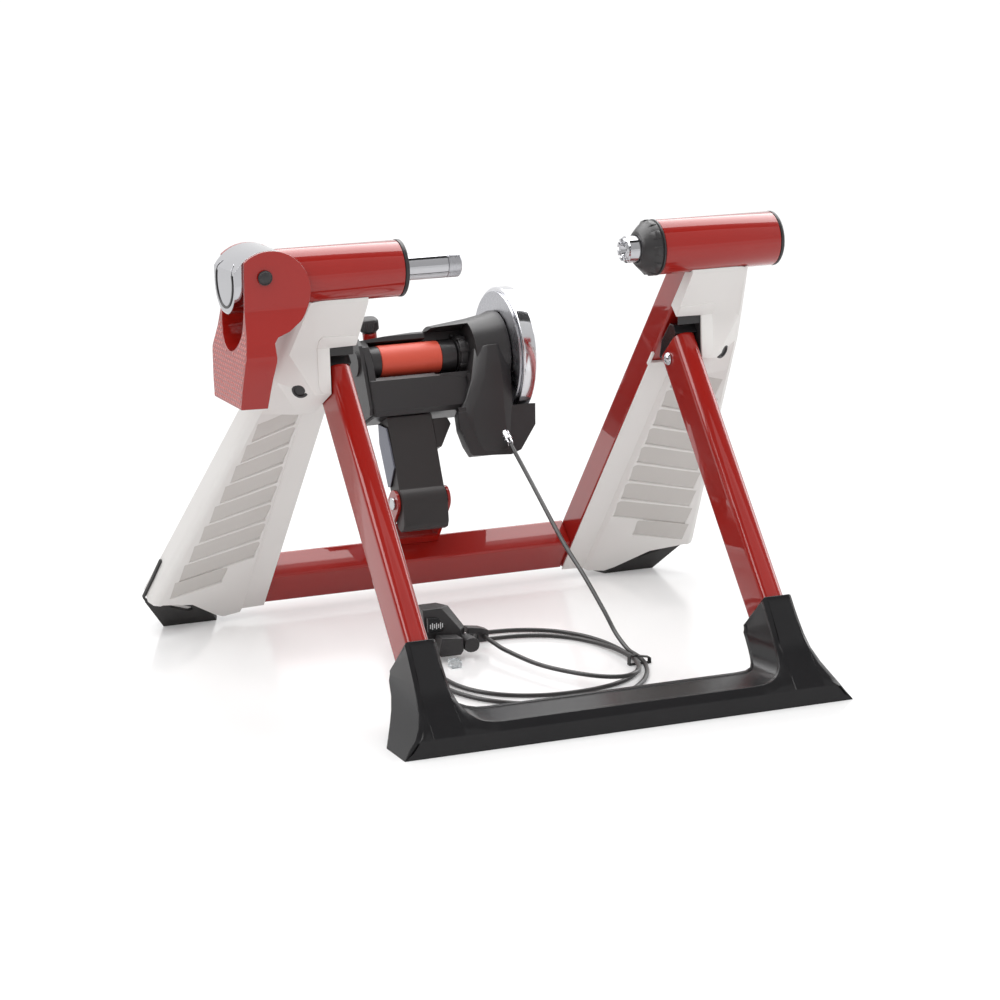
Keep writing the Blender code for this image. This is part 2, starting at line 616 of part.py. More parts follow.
# Clamp and adjuster.
def clamp_lever():
    side = arc((-0.2535, 0.3733), 0.0362, 130.5, -45, 22)
    side += [(-0.2399, 0.3395), (-0.2511, 0.3355), (-0.2545, 0.3310), (-0.2545, 0.3150), (-0.2577, 0.2990),
             (-0.2612, 0.2738), (-0.2855, 0.2745), (-0.2850, 0.2900), (-0.2832, 0.3150), (-0.2795, 0.3370),
             (-0.2776, 0.3600)]
    lever = piece("clamp_lever", extruded(side, -0.050, 0.050, ALONG_Y), "clamp_lever", RED)
    front = [(-CHEEK_OUT, 0.43), (-CHEEK_OUT, 0.3570), (-0.0470, 0.3187), (-0.0360, 0.27), (0.0360, 0.27),
             (0.0470, 0.3187), (CHEEK_OUT, 0.3570), (CHEEK_OUT, 0.43)]
    keep(lever, extruded(front, -0.31, -0.20, ALONG_X))
    slot = [(-CHEEK_IN, 0.44)] + arc((0, 0.3490), CHEEK_IN, 180, 360, 16) + [(CHEEK_IN, 0.44)]
    cut(lever, extruded(slot, -0.32, -0.19, ALONG_X))
    cut(lever, rod((LEVER_PIN_X, -0.06, LEVER_PIN_Z), (LEVER_PIN_X, 0.06, LEVER_PIN_Z), 0.0051, 20))


def clamp_slide():
    arch = arc((0, AXLE_Z), CHEEK_IN - GAP, 180, 360, 18) + [(CHEEK_IN - GAP, 0.43), (-CHEEK_IN + GAP, 0.43)]
    block = piece("clamp_end_block", extruded(arch, -0.2845, -0.2430, ALONG_X), "clamp_slide", CHROME)
    keep(block, rod((-0.2535, -0.05, 0.3733), (-0.2535, 0.05, 0.3733), 0.0362, 64))
    groove = [(0.0232, -0.2800), (0.0232, -0.2900), (0.0212, -0.2900), (0.0212, -0.2800)]
    cut(block, turned(groove, AXLE, 32, True))
    cut(block, rod((LEVER_PIN_X, -0.06, LEVER_PIN_Z), (LEVER_PIN_X, 0.06, LEVER_PIN_Z), 0.0051, 20))
    pin = [(0, 0.0352), (0.0065, 0.0352), (0.0065, CHEEK_OUT + GAP), (0.0048, CHEEK_OUT + GAP),
           (0.0048, -CHEEK_OUT - GAP), (0.0065, -CHEEK_OUT - GAP), (0.0065, -0.0352), (0, -0.0352)]
    made = piece("lever_pin", turned(pin, axis_y(LEVER_PIN_X, LEVER_PIN_Z), 24), "clamp_slide", BLACK)
    cut(made, rod((LEVER_PIN_X, -0.04, LEVER_PIN_Z), (LEVER_PIN_X, -0.0336, LEVER_PIN_Z), 0.0030, 6))
    shaft = [(0, -0.0803), (SHAFT_R, -0.0803), (SHAFT_R, -0.2427), (0, -0.2427)]
    piece("clamp_shaft", turned(shaft, AXLE, 32), "clamp_slide", CHROME)
    cup = [(0, -0.0740), (0.0050, -0.0740), (0.0085, -0.0676), (0.0110, -0.0676), (0.0119, -0.0686),
           (0.0119, -0.0790), (0.0112, -0.0800), (0, -0.0800)]
    piece("clamp_cup_left", turned(cup, AXLE, 32), "clamp_slide", STEEL)


def adjuster():
    ring = [(0.0256, 0.1258), (0.0256, 0.1185), (0.0235, 0.1135), (0.0190, 0.1085), (0.0155, 0.1070),
            (0.0127, 0.1070), (0.0127, 0.1258)]
    piece("adjuster_ring", turned(ring, AXLE, 32, True), "adjuster_ring", BLACK)
    cup = [(0, 0.2000), (0.0080, 0.2000), (0.0080, 0.1262), (0.01225, 0.1262), (0.01225, 0.0965),
           (0.0105, 0.0955), (0.0105, 0.0931), (0.0075, 0.0931), (0.0045, 0.0995), (0, 0.0995)]
    made = piece("adjuster_cup", turned(cup, AXLE, 32), "adjuster_cup", CHROME)
    for k in range(4):
        turn = Matrix.Rotation(math.radians(45 * k), 4, "X")
        frame = Matrix.Translation((0, 0, AXLE_Z)) @ turn
        cut(made, box((0.0925, -0.0016, -0.02), (0.0948, 0.0016, 0.02), frame))


# Resistance unit.
def unit_arm():
    side = [(0.0120, 0.0842), (0.0125, 0.0180)] + arc((0, 0), 0.0165, 40, -20, 5)
    side += [(0.0100, -0.0240), (0.0050, -0.0290), (-0.0030, -0.0290), (-0.0090, -0.0240)]
    side += arc((0, 0), 0.0165, 215, 140, 5) + [(-0.0125, 0.0180), (-0.0120, 0.0842)]
    arm = piece("unit_arm", extruded(side, -0.0308, 0.0165, UNIT_SIDE), "resistance_unit", BLACK)
    block = [(0.0100, 0.0500), (0.0220, 0.0500), (0.0357, 0.0721), (0.0330, 0.0790), (0.0100, 0.0790)]
    join(arm, extruded(block, -0.0100, 0.0105, UNIT_FACE))
    cut(arm, rod((-0.06, UNIT_Y, UNIT_Z), (0.06, UNIT_Y, UNIT_Z), 0.0043, 16))
    plate = [(0.0120, 0.0550), (0.0136, 0.0330), (-0.0060, 0.0175), (-0.0120, 0.0190), (-0.0160, 0.0640),
             (-0.0100, 0.0830), (0.0100, 0.0740)]
    piece("side_plate", extruded(plate, -0.0329, -0.0311, UNIT_SIDE), "resistance_unit", BLUE_GREY)


CONE = ((0.0300, 0.0308), (0.0700, 0.0354), (0.0875, 0.0385), (0.0960, 0.0415), (0.1000, 0.0415))


def housing_top(above, far):
    """A wedge between the housing's leaning top, raised by this much, and a level far from it."""
    ends = []
    for x, a in ((-0.0600, 0.0200), (0.0297, 0.0284)):
        low, high = sorted((a + above, far))
        ends.append([(x, -0.05, low), (x, 0.03, low), (x, 0.03, high), (x, -0.05, high)])
    return hexa(ends[0], ends[1], ROLLER_FRAME)


def unit_housing():
    recess = arc((0, 0), 0.0187, 80, 276, 12)
    side = [(0.0060, 0.0190), (0.0060, 0.0240), (0.0010, 0.0268), (-0.0140, 0.0250), (-0.0260, 0.0130),
            (-0.0300, -0.0100), (-0.0300, -0.0400), (-0.0220, -0.0584), (0.0160, -0.0584), (0.0200, -0.0540),
            (0.0200, -0.0235), (0.0165, -0.0195), (0.0060, -0.0192)]
    outline = side + recess[::-1]
    made = piece("unit_housing", extruded(outline, -0.0440, 0.0560, ROLLER_SIDE), "resistance_unit", BLACK)
    wall = [(0.0048, 0.0227), (-0.0135, 0.0238), (-0.0247, 0.0126), (-0.0289, -0.0103), (-0.0288, -0.0395),
            (-0.0211, -0.0573), (0.0151, -0.0575), (0.0192, -0.0536), (0.0193, -0.0097), (0.0147, 0.0125)]
    cone = [(r, x) for x, r in reversed(CONE)]
    cone = [(0, 0.1000)] + cone + [(0.0189, 0.0300), (0.0189, 0.0538), (0, 0.0538)]
    join(made, extruded(wall, -0.0450, -0.0380, ROLLER_SIDE), turned(cone, ROLLER_SIDE, 40))
    hollow = [(0, 0.1060), (0.0388, 0.1060), (0.0388, 0.0965), (0.0352, 0.0860), (0.0312, 0.0722), (0, 0.0722)]
    cut(made, turned(hollow, ROLLER_SIDE, 36))
    front_cut = box((0.0250, -0.0043, -0.0215), (0.0661, 0.0600, 0.0262), ROLLER_FRAME)
    cut(made, front_cut, box((0.0250, 0.0203, -0.0600), (0.0661, 0.0600, -0.0200), ROLLER_FRAME))
    cut(made, housing_top(0.0, 0.0500))
    join(made, turned([(0, 0.0690), (0.0170, 0.0690), (0.0170, 0.0545), (0, 0.0545)], ROLLER_SIDE, 32))
    bore = [(0, 0.0900), (0.0046, 0.0900), (0.0046, 0.0652), (0.0083, 0.0652), (0.0083, -0.0437),
            (0.0046, -0.0437), (0.0046, -0.0500), (0, -0.0500)]
    cut(made, turned(bore, ROLLER_SIDE, 28))


def cheek_plate():
    outline = [(0.0080, 0.0250), (-0.0120, 0.0262), (-0.0245, 0.0150), (-0.0285, -0.0100), (-0.0285, -0.0400),
               (-0.0200, -0.0560), (0.0140, -0.0560), (0.0180, -0.0500), (0.0175, -0.0080), (0.0160, 0.0140)]
    made = piece("cheek_plate", extruded(outline, -0.0488, -0.0453, ROLLER_SIDE), "resistance_unit", BLACK)
    join(made, extruded(arc((0, 0), 0.0125, 0, 345, 23), -0.0510, -0.0470, ROLLER_SIDE))
    cut(made, turned([(0, -0.0400), (0.0046, -0.0400), (0.0046, -0.0495), (0, -0.0495)], ROLLER_SIDE, 16))


def magnet_box():
    front = [(0.0390, 0.0790), (0.0382, 0.0664), (0.0443, 0.0378), (0.0470, 0.0345), (0.0874, 0.0320),
             (0.0985, 0.0359), (0.1183, 0.0600), (0.1221, 0.0812), (0.0900, 0.0830)]
    rear = [(0.0600, 0.0790), (0.0610, 0.0720), (0.0640, 0.0520), (0.0660, 0.0480), (0.0874, 0.0440),
            (0.0975, 0.0480), (0.1160, 0.0660), (0.1180, 0.0812), (0.0900, 0.0830)]
    solid = loft([[(x, -0.0260, a) for x, a in rear], [(x, 0.0260, a) for x, a in front]], UNIT)
    made = piece("magnet_box", solid, "resistance_unit", BLACK)
    shroud = []
    for inner, forward in ((0.0610, -0.0252), (0.0400, 0.0252)):
        corners = ((inner, 0.0700), (0.0950, 0.0700), (0.0950, 0.1180), (inner, 0.1180))
        shroud.append([(x, forward, a) for x, a in corners])
    join(made, loft(shroud, UNIT))
    cut(made, box((0.0690, -0.0232, 0.0508), (0.0935, 0.0232, 0.1400), UNIT))
    around = [(0, 0.1243), (0.0668, 0.1243), (0.0668, 0.0983), (0.0418, 0.0983), (0.0418, 0.0960),
              (0.0388, 0.0875), (0.0357, 0.0700), (0.0306, 0.0250), (0, 0.0250)]
    cut(made, turned(around, ROLLER_SIDE, 44))
    cut(made, box((0.0300, -0.0300, 0.0841), (0.0564, 0.0300, 0.1300), UNIT))
    carrier = [(0.0780, 0.0515), (0.0930, 0.0515), (0.0930, 0.0900), (0.0860, 0.0900), (0.0780, 0.0800)]
    piece("magnet_carrier", extruded(carrier, -0.0225, 0.0225, UNIT_FACE), "magnet_carrier", STEEL)


FERRULE_AXIS = Vector((0.055, -0.80, -0.597)).normalized()
FERRULE_AT = Vector((0.0850, 0.2570, 0.1620))
FERRULE_OUT = 0.0095


def ferrule():
    start, end = FERRULE_AT - FERRULE_AXIS * 0.012, FERRULE_AT + FERRULE_AXIS * FERRULE_OUT
    body = rod(start, end, 0.0048, 20, 0.0036)
    made = piece("cable_ferrule", body, "resistance_unit", CHROME)
    cut(made, box((0.060, -0.020, 0.020), (0.110, 0.0263, 0.090), UNIT))


def bearings_and_rotor():
    bearing = [(0.0080, 0.0), (0.0080, -0.0050), (0.0043, -0.0050), (0.0043, 0.0)]
    for name, at in (("bearing_left", -0.0385), ("bearing_right", 0.0600)):
        piece(name, turned([(r, z + at) for r, z in bearing], ROLLER_SIDE, 24, True), "resistance_unit", STEEL)
    core = [(0.0158, 0.0528), (0.0158, 0.0372), (0.0100, 0.0372), (0.0100, -0.0270), (0.0158, -0.0270),
            (0.0158, -0.0372), (0.0043, -0.0372), (0.0043, 0.0528)]
    piece("roller_core", turned(core, ROLLER_SIDE, 32, True), "rotor", BLACK)
    edge = ROLLER_R - 0.0006
    sleeve = [(edge, 0.0369), (ROLLER_R, 0.0363), (ROLLER_R, -0.0261), (edge, -0.0267), (0.0103, -0.0267),
              (0.0103, 0.0369)]
    piece("roller_sleeve", turned(sleeve, ROLLER_SIDE, 40, True), "rotor", ORANGE)
    shaft = [(0, 0.1215), (0.0040, 0.1215), (0.0040, -0.0465), (0, -0.0465)]
    piece("roller_shaft", turned(shaft, ROLLER_SIDE, 20), "rotor", STEEL)
    edge = FLYWHEEL_R - 0.0010
    wheel = [(edge, 0.1180), (FLYWHEEL_R, 0.1170), (FLYWHEEL_R, 0.1050), (edge, 0.1040), (0.0043, 0.1040),
             (0.0043, 0.1190), (0.0140, 0.1190), (0.0160, 0.1110), (0.0480, 0.1110), (0.0510, 0.1180)]
    piece("flywheel", turned(wheel, ROLLER_SIDE, 64, True), "rotor", CHROME)
    disc = [(0.0605, 0.1037), (0.0605, 0.1012), (0.0043, 0.1012), (0.0043, 0.1037)]
    piece("conductive_disc", turned(disc, ROLLER_SIDE, 48, True), "rotor", STEEL)


KNOB_AT = Vector((-0.0275, -0.0060, 0.1690))
KNOB_AXIS = Vector((-0.10, 0.45, 0.89)).normalized()


def tension_knob():
    base = UNIT @ KNOB_AT
    turn = UNIT.to_3x3() @ KNOB_AXIS
    knob = [(0, 0.0210), (0.0070, 0.0210), (0.0088, 0.0195), (0.0095, 0.0180), (0.0095, 0.0090),
            (0.0080, 0.0072), (0.0050, 0.0066), (0.0050, 0.0), (0, 0.0)]
    quat = turn.to_track_quat("Z", "Y").to_matrix().to_4x4()
    frame = Matrix.Translation(base) @ quat
    piece("tension_knob", turned(knob, frame, 28), "tension_knob", BLACK)
    collar = [(0.0072, 0.0060), (0.0072, -0.0080), (0.0053, -0.0080), (0.0053, 0.0060)]
    made = piece("tension_collar", turned(collar, frame, 24, True), "resistance_unit", RED)
    cut(made, housing_top(GAP, -0.0300))


# Remote on the cable.
REMOTE_PIVOT = (-0.0600, 0.0600, 0.0150)


def remote():
    low = [(-0.0780, 0.0745), (-0.0420, 0.0745), (-0.0340, 0.0840), (-0.0430, 0.1060), (-0.0760, 0.1060)]
    high = [(-0.0780, 0.0790), (-0.0600, 0.0790), (-0.0500, 0.0860), (-0.0560, 0.1010), (-0.0740, 0.1010)]
    levels = [(low, 0.0062), (low, 0.0240), (high, 0.0460)]
    piece("remote_body", loft([[(x, y, z) for x, y in ring] for ring, z in levels]), "rear_frame", BLACK)
    outline = [(-0.0710, 0.0062), (-0.0510, 0.0062), (-0.0482, 0.0100), (-0.0485, 0.0218), (-0.0695, 0.0243),
               (-0.0720, 0.0130)]
    lever = piece("remote_lever", extruded(outline, 0.0520, 0.0682, ALONG_Y), "remote_lever", BLACK)
    x, _, z = REMOTE_PIVOT
    join(lever, rod((x, 0.0600, z), (x, 0.0740, z), 0.0040, 20))
    window = [(-0.0765, 0.0262), (-0.0620, 0.0262), (-0.0600, 0.0320), (-0.0660, 0.0390), (-0.0765, 0.0400)]
    piece("remote_window", extruded(window, 0.0690, 0.0738, ALONG_Y), "rear_frame", GLOSS_BLACK)
    clamp = rounded((-0.0456, 0.0062), (-0.0305, 0.0200), 0.0060)
    piece("remote_clamp", extruded(clamp, 0.0560, 0.0740, ALONG_Y), "rear_frame", BLACK)
    stop = [(-0.0325, 0.0170), (-0.0235, 0.0165), (-0.0215, 0.0075), (-0.0110, 0.0075), (-0.0110, 0.0185),
            (-0.0190, 0.0215), (-0.0325, 0.0235)]
    piece("remote_stop", extruded(stop, 0.0805, 0.0915, ALONG_Y), "rear_frame", BLACK)
    piece("remote_pad", box((-0.0690, 0.0300, 0.0004), (-0.0590, 0.0420, 0.0075)), "rear_frame", CLEAR)


# Cable.
# Its route: the run down from the ferrule, the coil on the floor, and the tail to the remote.
RUN_VIA = ((0.0895, 0.2119, 0.1271), (0.0935, 0.1451, 0.0804), (0.0965, 0.0997, 0.0540),
           (0.0990, 0.0588, 0.0275), (0.1003, 0.0370, 0.0120))
TAIL_VIA = ((0.0868, -0.0300, 0.0064), (0.0770, -0.0620, 0.0088), (0.0640, -0.0870, 0.0110),
            (0.0440, -0.0960, 0.0110), (0.0200, -0.0760, 0.0105), (-0.0030, -0.0250, 0.0095),
            (-0.0140, 0.0300, 0.0110), (-0.0162, 0.0560, 0.0125))
TAIL_END = (-0.0160, 0.0801, 0.0130)
LOOP_STEPS = 26
COIL_TURNS = 2
COIL_START = math.radians(4.0)
# The coil's last stretch, in turns, rises by this much to pass over the first strand.
COIL_RISE = 0.12
COIL_LIFT = 0.0025
# Free space between the ends of two lengths of the cable.
CABLE_GAP = 0.0005
# Half widths of the coil by turns along it, right and left and then front and rear.
COIL_X = ((0.0, 0.5, 1.0, 1.5, 2.0), (0.1005, 0.1030, 0.0945, 0.0905, 0.0885))
COIL_Y = ((0.0, 0.25, 0.75, 0.96, 1.02, 1.25, 1.75, 2.0),
          (0.1310, 0.1310, 0.1300, 0.1250, 0.0990, 0.0965, 0.1060, 0.1050))
# How square each quarter is: 2 is an ellipse.
COIL_POWER = ((0.0, 0.25, 0.4, 0.5, 0.6, 1.0, 1.1, 1.25, 1.5, 1.6, 2.0),
              (1.8, 1.8, 2.3, 2.3, 2.5, 2.5, 2.1, 2.1, 2.3, 2.5, 2.5))


def smooth_route(points, spacing):
    """Points read at this spacing from a Catmull-Rom curve through the given ones."""
    points = [np.array(p) for p in points]
    points = [2 * points[0] - points[1]] + points + [2 * points[-1] - points[-2]]
    dense = []
    for a, b, c, d in zip(points, points[1:], points[2:], points[3:]):
        for t in np.linspace(0, 1, 40, endpoint=False):
            dense.append(0.5 * (2 * b + (c - a) * t + (2 * a - 5 * b + 4 * c - d) * t ** 2
                                + (3 * b - a - 3 * c + d) * t ** 3))
    dense.append(points[-2])
    dense = np.array(dense)
    along = np.concatenate([[0], np.cumsum(np.linalg.norm(np.diff(dense, axis=0), axis=1))])
    count = max(int(round(along[-1] / spacing)), 2)
    marks = np.linspace(0, along[-1], count + 1)
    return np.stack([np.interp(marks, along, dense[:, k]) for k in range(3)], axis=1)


def coil_point(turn):
    """A point of the coil after this many clockwise turns from its first one at the tie."""
    angle = COIL_START - turn * 2 * math.pi
    c, s = abs(math.cos(angle)), abs(math.sin(angle))
    reach_x = float(np.interp(turn, *COIL_X))
    reach_y = float(np.interp(turn, *COIL_Y))
    power = float(np.interp(turn, *COIL_POWER))
    radius = ((c / reach_x) ** power + (s / reach_y) ** power) ** (-1 / power)
    lift = COIL_LIFT * (max(turn - COIL_TURNS + COIL_RISE, 0.0) / COIL_RISE) ** 2
    return (radius * math.cos(angle), radius * math.sin(angle), CABLE_FLOOR + lift)


def cables():
    steps = LOOP_STEPS * COIL_TURNS
    coil = np.array([coil_point(k / LOOP_STEPS) for k in range(steps + 1)])
    start, end = coil[0], coil[-1]
    into = (coil[0] - coil[1]) / np.linalg.norm(coil[0] - coil[1])
    out = (coil[-1] - coil[-2]) / np.linalg.norm(coil[-1] - coil[-2])
    first = np.array(FERRULE_AT + FERRULE_AXIS * (FERRULE_OUT + 0.0004))
    second = first + np.array(FERRULE_AXIS) * 0.0060
    straight = CABLE_GAP + 0.0040
    run = smooth_route([second, *RUN_VIA, start + into * 0.012, start + into * straight], 0.0125)
    run = np.vstack([[first], run, [start + into * CABLE_GAP]])
    before_end = np.array(TAIL_END) - (0.0, 0.0045, 0.0)
    tail = smooth_route([end + out * straight, *TAIL_VIA, before_end], 0.011)
    tail = np.vstack([[end + out * CABLE_GAP], tail, [TAIL_END]])
    piece("cable_run", tube(run, CABLE_R), "rear_frame", RUBBER, 60)
    piece("cable_coil", tube(coil, CABLE_R, 1), "rear_frame", RUBBER, 60)
    piece("cable_tail", tube(tail, CABLE_R), "rear_frame", RUBBER, 60)
    report_cable(run, coil, tail)


def tie_ring():
    """A flat band round the strands beside the first point of the coil."""
    made = piece("cable_tie", box((0.0820, -0.0330, 0.0001), (0.1035, -0.0270, 0.0106)), "rear_frame", RUBBER)
    cut(made, box((0.0832, -0.0400, 0.0004), (0.1023, -0.0200, 0.0098)))


def report_cable(run, coil, tail):
    def length(points):
        return float(np.linalg.norm(np.diff(points, axis=0), axis=1).sum())

    def least_gap(points, skip):
        dense = []
        for a, b in zip(points, points[1:]):
            dense.extend(a + (b - a) * t for t in np.linspace(0, 1, 6, endpoint=False))
        dense = np.array(dense + [points[-1]])
        best = 1.0
        for i in range(0, len(dense), 2):
            rest = dense[i + skip:]
            if len(rest):
                best = min(best, float(np.linalg.norm(rest - dense[i], axis=1).min()))
        return best - 2 * CABLE_R

    print("cable lengths", round(length(run), 4), round(length(coil), 4), round(length(tail), 4))
    print("coil least gap to itself", round(least_gap(coil, 40) * 1000, 2), "mm")
    apart = min(float(np.linalg.norm(coil[:-4] - p, axis=1).min()) for p in tail)
    print("tail to coil", round((apart - 2 * CABLE_R) * 1000, 2), "mm")


# Build.
def main():
    global PARTS, CUTTERS
    clear_scene()
    PARTS = bpy.data.collections.new("Magnetic bike trainer")
    CUTTERS = bpy.data.collections.new("Cutters")
    bpy.context.scene.collection.children.link(PARTS)
    bpy.context.scene.collection.children.link(CUTTERS)
    CUTTERS.hide_render = True
    add_body("rear_frame", (0, 0, 0))
    add_body("front_frame", (0, FOLD_Y, FOLD_Z), "rear_frame")
    add_body("clamp_slide", (-0.2427, 0, AXLE_Z), "rear_frame")
    add_body("clamp_lever", (LEVER_PIN_X, 0, LEVER_PIN_Z), "clamp_slide")
    add_body("adjuster_ring", (0.1165, 0, AXLE_Z), "rear_frame")
    add_body("adjuster_cup", (0.0965, 0, AXLE_Z), "rear_frame")
    add_body("resistance_unit", (0, UNIT_Y, UNIT_Z), "rear_frame")
    axis = UNIT @ Vector((0, 0, ROLLER_UP))
    add_body("rotor", axis, "resistance_unit")
    add_body("tension_knob", UNIT @ KNOB_AT, "resistance_unit")
    add_body("magnet_carrier", UNIT @ Vector((0.0985, 0, 0.070)), "resistance_unit")
    add_body("remote_lever", REMOTE_PIVOT, "rear_frame")
    rear_legs()
    crossbar()
    barrels()
    leg_covers()
    cover_plugs()
    rear_feet()
    fold_brackets()
    unit_bracket()
    front_tubes()
    front_foot()
    clamp_lever()
    clamp_slide()
    adjuster()
    unit_arm()
    unit_housing()
    cheek_plate()
    magnet_box()
    ferrule()
    bearings_and_rotor()
    tension_knob()
    remote()
    cables()
    tie_ring()


main()
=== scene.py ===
"""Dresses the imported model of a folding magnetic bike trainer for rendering.

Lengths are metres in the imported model's frame: X runs along the wheel's axle, from the clamp lever to the
flywheel, +Y to the rear and +Z up. Each sub-assembly is a class with its sizes as fields, where longer
tables are written in millimetres.
"""

import json
import logging
import math
from dataclasses import dataclass, field
from enum import Enum
from typing import Callable, Iterable, Sequence

import bpy
import numpy as np
from mathutils import Matrix, Vector

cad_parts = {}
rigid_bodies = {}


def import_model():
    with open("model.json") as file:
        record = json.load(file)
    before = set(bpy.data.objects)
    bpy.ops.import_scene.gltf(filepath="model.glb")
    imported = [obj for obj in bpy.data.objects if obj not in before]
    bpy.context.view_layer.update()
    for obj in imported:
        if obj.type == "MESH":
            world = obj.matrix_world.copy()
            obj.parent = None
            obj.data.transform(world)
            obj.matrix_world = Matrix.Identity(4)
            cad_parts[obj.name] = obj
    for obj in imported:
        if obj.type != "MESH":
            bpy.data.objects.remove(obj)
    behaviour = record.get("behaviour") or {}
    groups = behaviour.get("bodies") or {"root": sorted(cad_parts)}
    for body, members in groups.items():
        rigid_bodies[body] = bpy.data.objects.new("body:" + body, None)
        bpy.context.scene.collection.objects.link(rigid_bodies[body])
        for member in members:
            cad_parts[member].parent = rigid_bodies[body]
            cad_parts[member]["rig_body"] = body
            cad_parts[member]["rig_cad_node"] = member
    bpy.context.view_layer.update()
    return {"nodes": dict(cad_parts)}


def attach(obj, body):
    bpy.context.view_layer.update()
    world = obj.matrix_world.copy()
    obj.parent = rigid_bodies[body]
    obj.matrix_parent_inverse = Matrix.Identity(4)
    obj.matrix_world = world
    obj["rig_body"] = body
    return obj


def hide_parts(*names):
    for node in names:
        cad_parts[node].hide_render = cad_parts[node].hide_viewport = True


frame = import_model()

log = logging.getLogger("trainer")

Point = Sequence[float]
Row = Sequence[float]
Pair = tuple[float, float]
Profile = Sequence[Pair]
Object = bpy.types.Object

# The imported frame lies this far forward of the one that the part's sizes are written in.
SHIFT_Y = -0.0827
PACKED = Matrix.Translation((0.0, SHIFT_Y, 0.0))
AXLE_Z = 0.3811
UNIT_LEAN = math.radians(23.5)
UNIT_Y = 0.2630
UNIT_Z = 0.1058
ROLLER_UP = 0.1429

# Points nearer than this become one, in turned and copied shapes and in lofted ones.
WELD = 2e-5
LOFT_WELD = 1e-5
# A turned ring is never narrower than this, and copied faces are one where they bend less than this.
LEAST_RADIUS = 1e-5
FLAT = math.radians(0.05)

# A finish's colour drifts in slow waves, and its relief maps this span of noise onto the roughness.
DRIFT_SCALE = 14.0
DRIFT_DETAIL = 2.0
GRAIN_DETAIL = 3.0
GRAIN_SPAN = (0.3, 0.7)
WHITE = (1.0, 1.0, 1.0, 1.0)


def mm(value: float | Sequence) -> float | tuple:
    """Returns millimetres as metres, for one length or for nested rows of them."""
    if isinstance(value, (int, float)):
        return round(value / 1000.0, 7)
    return tuple(mm(part) for part in value)


def packed(point: Point) -> Vector:
    """Returns a point of the part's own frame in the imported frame."""
    return Vector(point) + Vector((0.0, SHIFT_Y, 0.0))


def standing(at: Point, aim: Point) -> Matrix:
    """Returns the frame at a point whose third axis points this way."""
    return Matrix.Translation(at) @ Vector(aim).normalized().to_track_quat("Z", "Y").to_matrix().to_4x4()


def turns(count: int) -> list[Matrix]:
    """Returns this many equal turns about the third axis."""
    return [Matrix.Rotation(math.radians(360.0 * k / count), 4, "Z") for k in range(count)]


def axes(x_axis: Point, y_axis: Point, z_axis: Point, origin: Point) -> Matrix:
    """Returns the frame whose axes point these ways, at an origin given in the part's own frame."""
    columns = Matrix((x_axis, y_axis, z_axis)).transposed().to_4x4()
    return Matrix.Translation(packed(origin)) @ columns


def along_x(y: float, z: float) -> Matrix:
    """Returns the frame of a turned piece whose axis is along X through this y and z."""
    return axes((0, 1, 0), (0, 0, 1), (1, 0, 0), (0, y, z))


UP = (0.0, math.sin(UNIT_LEAN), math.cos(UNIT_LEAN))
FRONT = (0.0, -math.cos(UNIT_LEAN), math.sin(UNIT_LEAN))
AXLE = along_x(0.0, AXLE_Z)
LEG_TILT = math.radians(40.7)
LEG = axes((1, 0, 0), (0, -math.cos(LEG_TILT), -math.sin(LEG_TILT)),
           (0, math.sin(LEG_TILT), -math.cos(LEG_TILT)), (0, 0, AXLE_Z))
UNIT = axes((1, 0, 0), FRONT, UP, (0, UNIT_Y, UNIT_Z))
ROLLER = axes(FRONT, UP, (1, 0, 0), (0, UNIT_Y, UNIT_Z)) @ Matrix.Translation((0, ROLLER_UP, 0))


class Side(Enum):
    """The two sides of the wheel plane."""

    LEFT = -1
    RIGHT = 1

    @property
    def word(self) -> str:
        """The side's name as nodes spell it."""
        return self.name.lower()

    @property
    def mirror(self) -> Matrix:
        """Carries a piece made for the right side to this one."""
        return Matrix.Diagonal((self.value, 1.0, 1.0, 1.0))


class Grain(Enum):
    """How a surface is broken up close to, as the noise's stretch along X, Y and Z."""

    EVEN = (1.0, 1.0, 1.0)
    TURNED_X = (1.0, 0.05, 0.05)


class Graph:
    """The nodes of a material or a world. An input takes a plain value or another node's output."""

    def __init__(self, owner: bpy.types.ID) -> None:
        """Opens the owner's nodes."""
        owner.use_nodes = True
        self.nodes, self.links = owner.node_tree.nodes, owner.node_tree.links

    def fill(self, node: bpy.types.Node, inputs: dict) -> None:
        """Sets or links the inputs of a node."""
        for key, value in inputs.items():
            if isinstance(value, bpy.types.NodeSocket):
                self.links.new(value, node.inputs[key])
            else:
                node.inputs[key].default_value = value

    def add(self, kind: str, output: str, inputs: dict | None = None,
            **settings: object) -> bpy.types.NodeSocket:
        """Adds a shader node of this kind and returns the named output of it."""
        node = self.nodes.new("ShaderNode" + kind)
        for name, value in settings.items():
            setattr(node, name, value)
        self.fill(node, inputs or {})
        return node.outputs[output]


